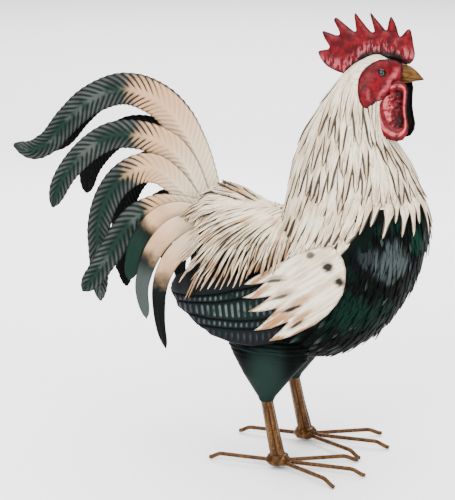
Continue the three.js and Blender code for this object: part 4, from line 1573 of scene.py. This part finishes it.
wattle_paint.set("Base Color", wattle_paint.over(
    wattle_paint.blend(wattle_cloud.ramp(0.35, 0.65), (0.045, 0.0004, 0.002), (0.135, 0.0014, 0.0056)),
    (wattle_pale.ramp(0.45, 1.15) * wattle_cloud.ramp(0.25, 0.55), (0.40, 0.080, 0.092)),
    (wattle_deep, (0.006, 0.0005, 0.0007)),
    (wattle_rim * 0.9, (0.008, 0.0006, 0.0008)),
))
wattle_paint.bump(wattle_cloud, 0.35, 0.0007)
wattle = sheet_piece(
    "wattle", placed(wattle_points), wattle_faces, wattle_paint,
    tone=wattle_tones, line=np.clip(1 - wattle_away / 1.1, 0, 1),
    deep=np.where(in_hollow, np.clip((0.22 - np.array(wattle_tones)) * 3.0, 0, 0.95), 0),
)
thicken(wattle, 1.6 * MM, inner_black)
pair(wattle, "wattle", "red_paint", "wattle")

# Comb: a toothed plate of two pressed halves standing on the crown, thicker along its foot.
# Red, embossed all over, darker round its edge, dabbed with pink low down and black along its foot.
COMB_EDGE = [
    (81, 529.5), (73.8, 523.4), (70.2, 520.6), (64.7, 520.4), (57.3, 522.3), (49.2, 525.6), (43, 528.9),
    (38, 533.8), (33.7, 539.5), (30.8, 545.3), (31, 547.4), (33.5, 548.9), (38.5, 549.7), (43.4, 550.4),
    (46.1, 553), (45.2, 556), (42.6, 559.4), (40.2, 562.8), (37.8, 567.5), (36, 572), (36.2, 573.7),
    (37.8, 574), (42.5, 572.7), (48, 571), (53.6, 569), (58.5, 569.3), (59.4, 571.2), (58.4, 574.8),
    (56.5, 578.6), (53.6, 583.4), (51.3, 587.6), (51.5, 589.8), (53.9, 591.7), (56.6, 590.4), (65, 584.2),
    (70, 580.4), (74.2, 577.2), (79.1, 574.4), (81.2, 575.2), (80.6, 580), (79.9, 585.1), (78.6, 592),
    (78.3, 596.2), (79.6, 598.2), (81.2, 597), (84.6, 592.6), (89.8, 586.6), (94.6, 580.8), (100.6, 574.9),
    (103.9, 574.3), (105.2, 575.7), (104.2, 580.4), (101.5, 588.9), (99.2, 596.4), (99.4, 599.2),
    (101, 598.4), (104.9, 593.5), (109.2, 589), (113.3, 584.6), (119.3, 577.8), (121.5, 577.9),
    (122.4, 581.2), (123.7, 588.5), (125.6, 594.4), (126.6, 595.2), (128.2, 593.2), (129.8, 590.7),
    (132.4, 586), (134.4, 580.7), (136.6, 573), (138.5, 570), (141, 571.4), (143.8, 574.5), (148, 579.3),
    (150.9, 580.1), (153, 577.3), (155, 568), (156.6, 559.2), (158.6, 550), (158.2, 544.4), (156, 539.6),
    (151.8, 535.4), (148.4, 536), (142.2, 539), (132.8, 541), (123.4, 542), (114, 542), (102.3, 541),
    (90.5, 536.6),
]
comb_flat, comb_faces, comb_away = filled(rounded_edge(COMB_EDGE, 1.5), 1.9)
comb_x, comb_z = comb_flat.T
# X and z along the plate's foot.
comb_foot = (
    (31, 526), (50, 522), (70, 521), (81, 531), (90, 538.5), (102, 543.5), (114, 545), (124, 544.6),
    (133, 543), (142, 539), (148, 536), (158, 536),
)
over_foot = comb_z - look_up(comb_foot, comb_x)[0]
on_crown = np.clip((comb_x - 66) / 8, 0, 1) * np.clip((150 - comb_x) / 6, 0, 1)
# How fine and how high the beaten warts are.
comb_warts = ((0.21, 0.9), (0.52, 0.55), (1.1, 0.2))
comb_sides = []
for side in (-1, 1):
    relief = []
    for (x, z), away, rise, seated in zip(comb_flat, comb_away, over_foot, on_crown):
        spot = Vector((x, z, 20.0 * side))
        warts = sum(noise.noise(spot * fineness) * size for fineness, size in comb_warts)
        low = math.exp(-max(0.0, rise) / 17)
        half = 0.55 + 2.2 * (1 - math.exp(-away / 3.2)) + 1.9 * math.exp(-max(0.0, rise) / 4.5) * seated
        relief.append(half + warts * min(1.0, away / 3.0) * (0.3 + 0.9 * low))
    comb_sides.append(np.stack([comb_x, side * np.array(relief), comb_z], 1))
used = {(a, b) for face in comb_faces for a, b in zip(face, face[1:] + face[:1])}
comb_count = len(comb_flat)
comb_shell = [tuple(face) for face in comb_faces]
comb_shell += [tuple(k + comb_count for k in face[::-1]) for face in comb_faces]
comb_shell += [(b, a, a + comb_count, b + comb_count) for a, b in used if (b, a) not in used]
comb_points = placed(np.concatenate(comb_sides))

comb_paint = Paint("comb_red", roughness=0.38, shine=0.12)
comb_rise = comb_paint.attribute("tone")
comb_rim = comb_paint.attribute("line")
comb_cloud = comb_paint.noise(comb_paint.where(), 110, 3)
comb_dab = comb_paint.noise(comb_paint.stretched((230, 230, 80)), 1.0, 3, distortion=0.5)
comb_brush = comb_paint.noise(comb_paint.stretched((420, 420, 60)), 1.0, 2)
comb_zone = comb_rise.ramp(0.04, 0.14) * comb_rise.ramp(0.5, 0.28)
comb_paint.set("Base Color", comb_paint.over(
    comb_paint.blend(comb_cloud.ramp(0.35, 0.66), (0.04, 0.0003, 0.0018), (0.125, 0.0013, 0.0055)),
    (comb_zone * comb_dab.ramp(0.49, 0.59) * 0.8, (0.3, 0.07, 0.08)),
    (comb_zone * comb_dab.ramp(0.42, 0.33) * 0.8, (0.01, 0.0015, 0.002)),
    ((comb_rise + comb_brush * 0.36).ramp(0.38, 0.25), (0.0012, 0.0012, 0.001)),
    (comb_rim * 0.9, (0.008, 0.0006, 0.0008)),
))
comb_paint.bump(comb_cloud, 0.35, 0.0007)
height_tone = np.where(on_crown > 0.3, over_foot / 50, 0.1 + over_foot / 60)
comb = sheet_piece(
    "comb_form", comb_points, comb_shell, comb_paint,
    tone=np.tile(np.clip(height_tone, 0, 1), 2), line=np.tile(np.clip(1.15 - comb_away / 1.8, 0, 1), 2),
)
outwards(comb)
finish_piece(comb, "red_paint", "comb")
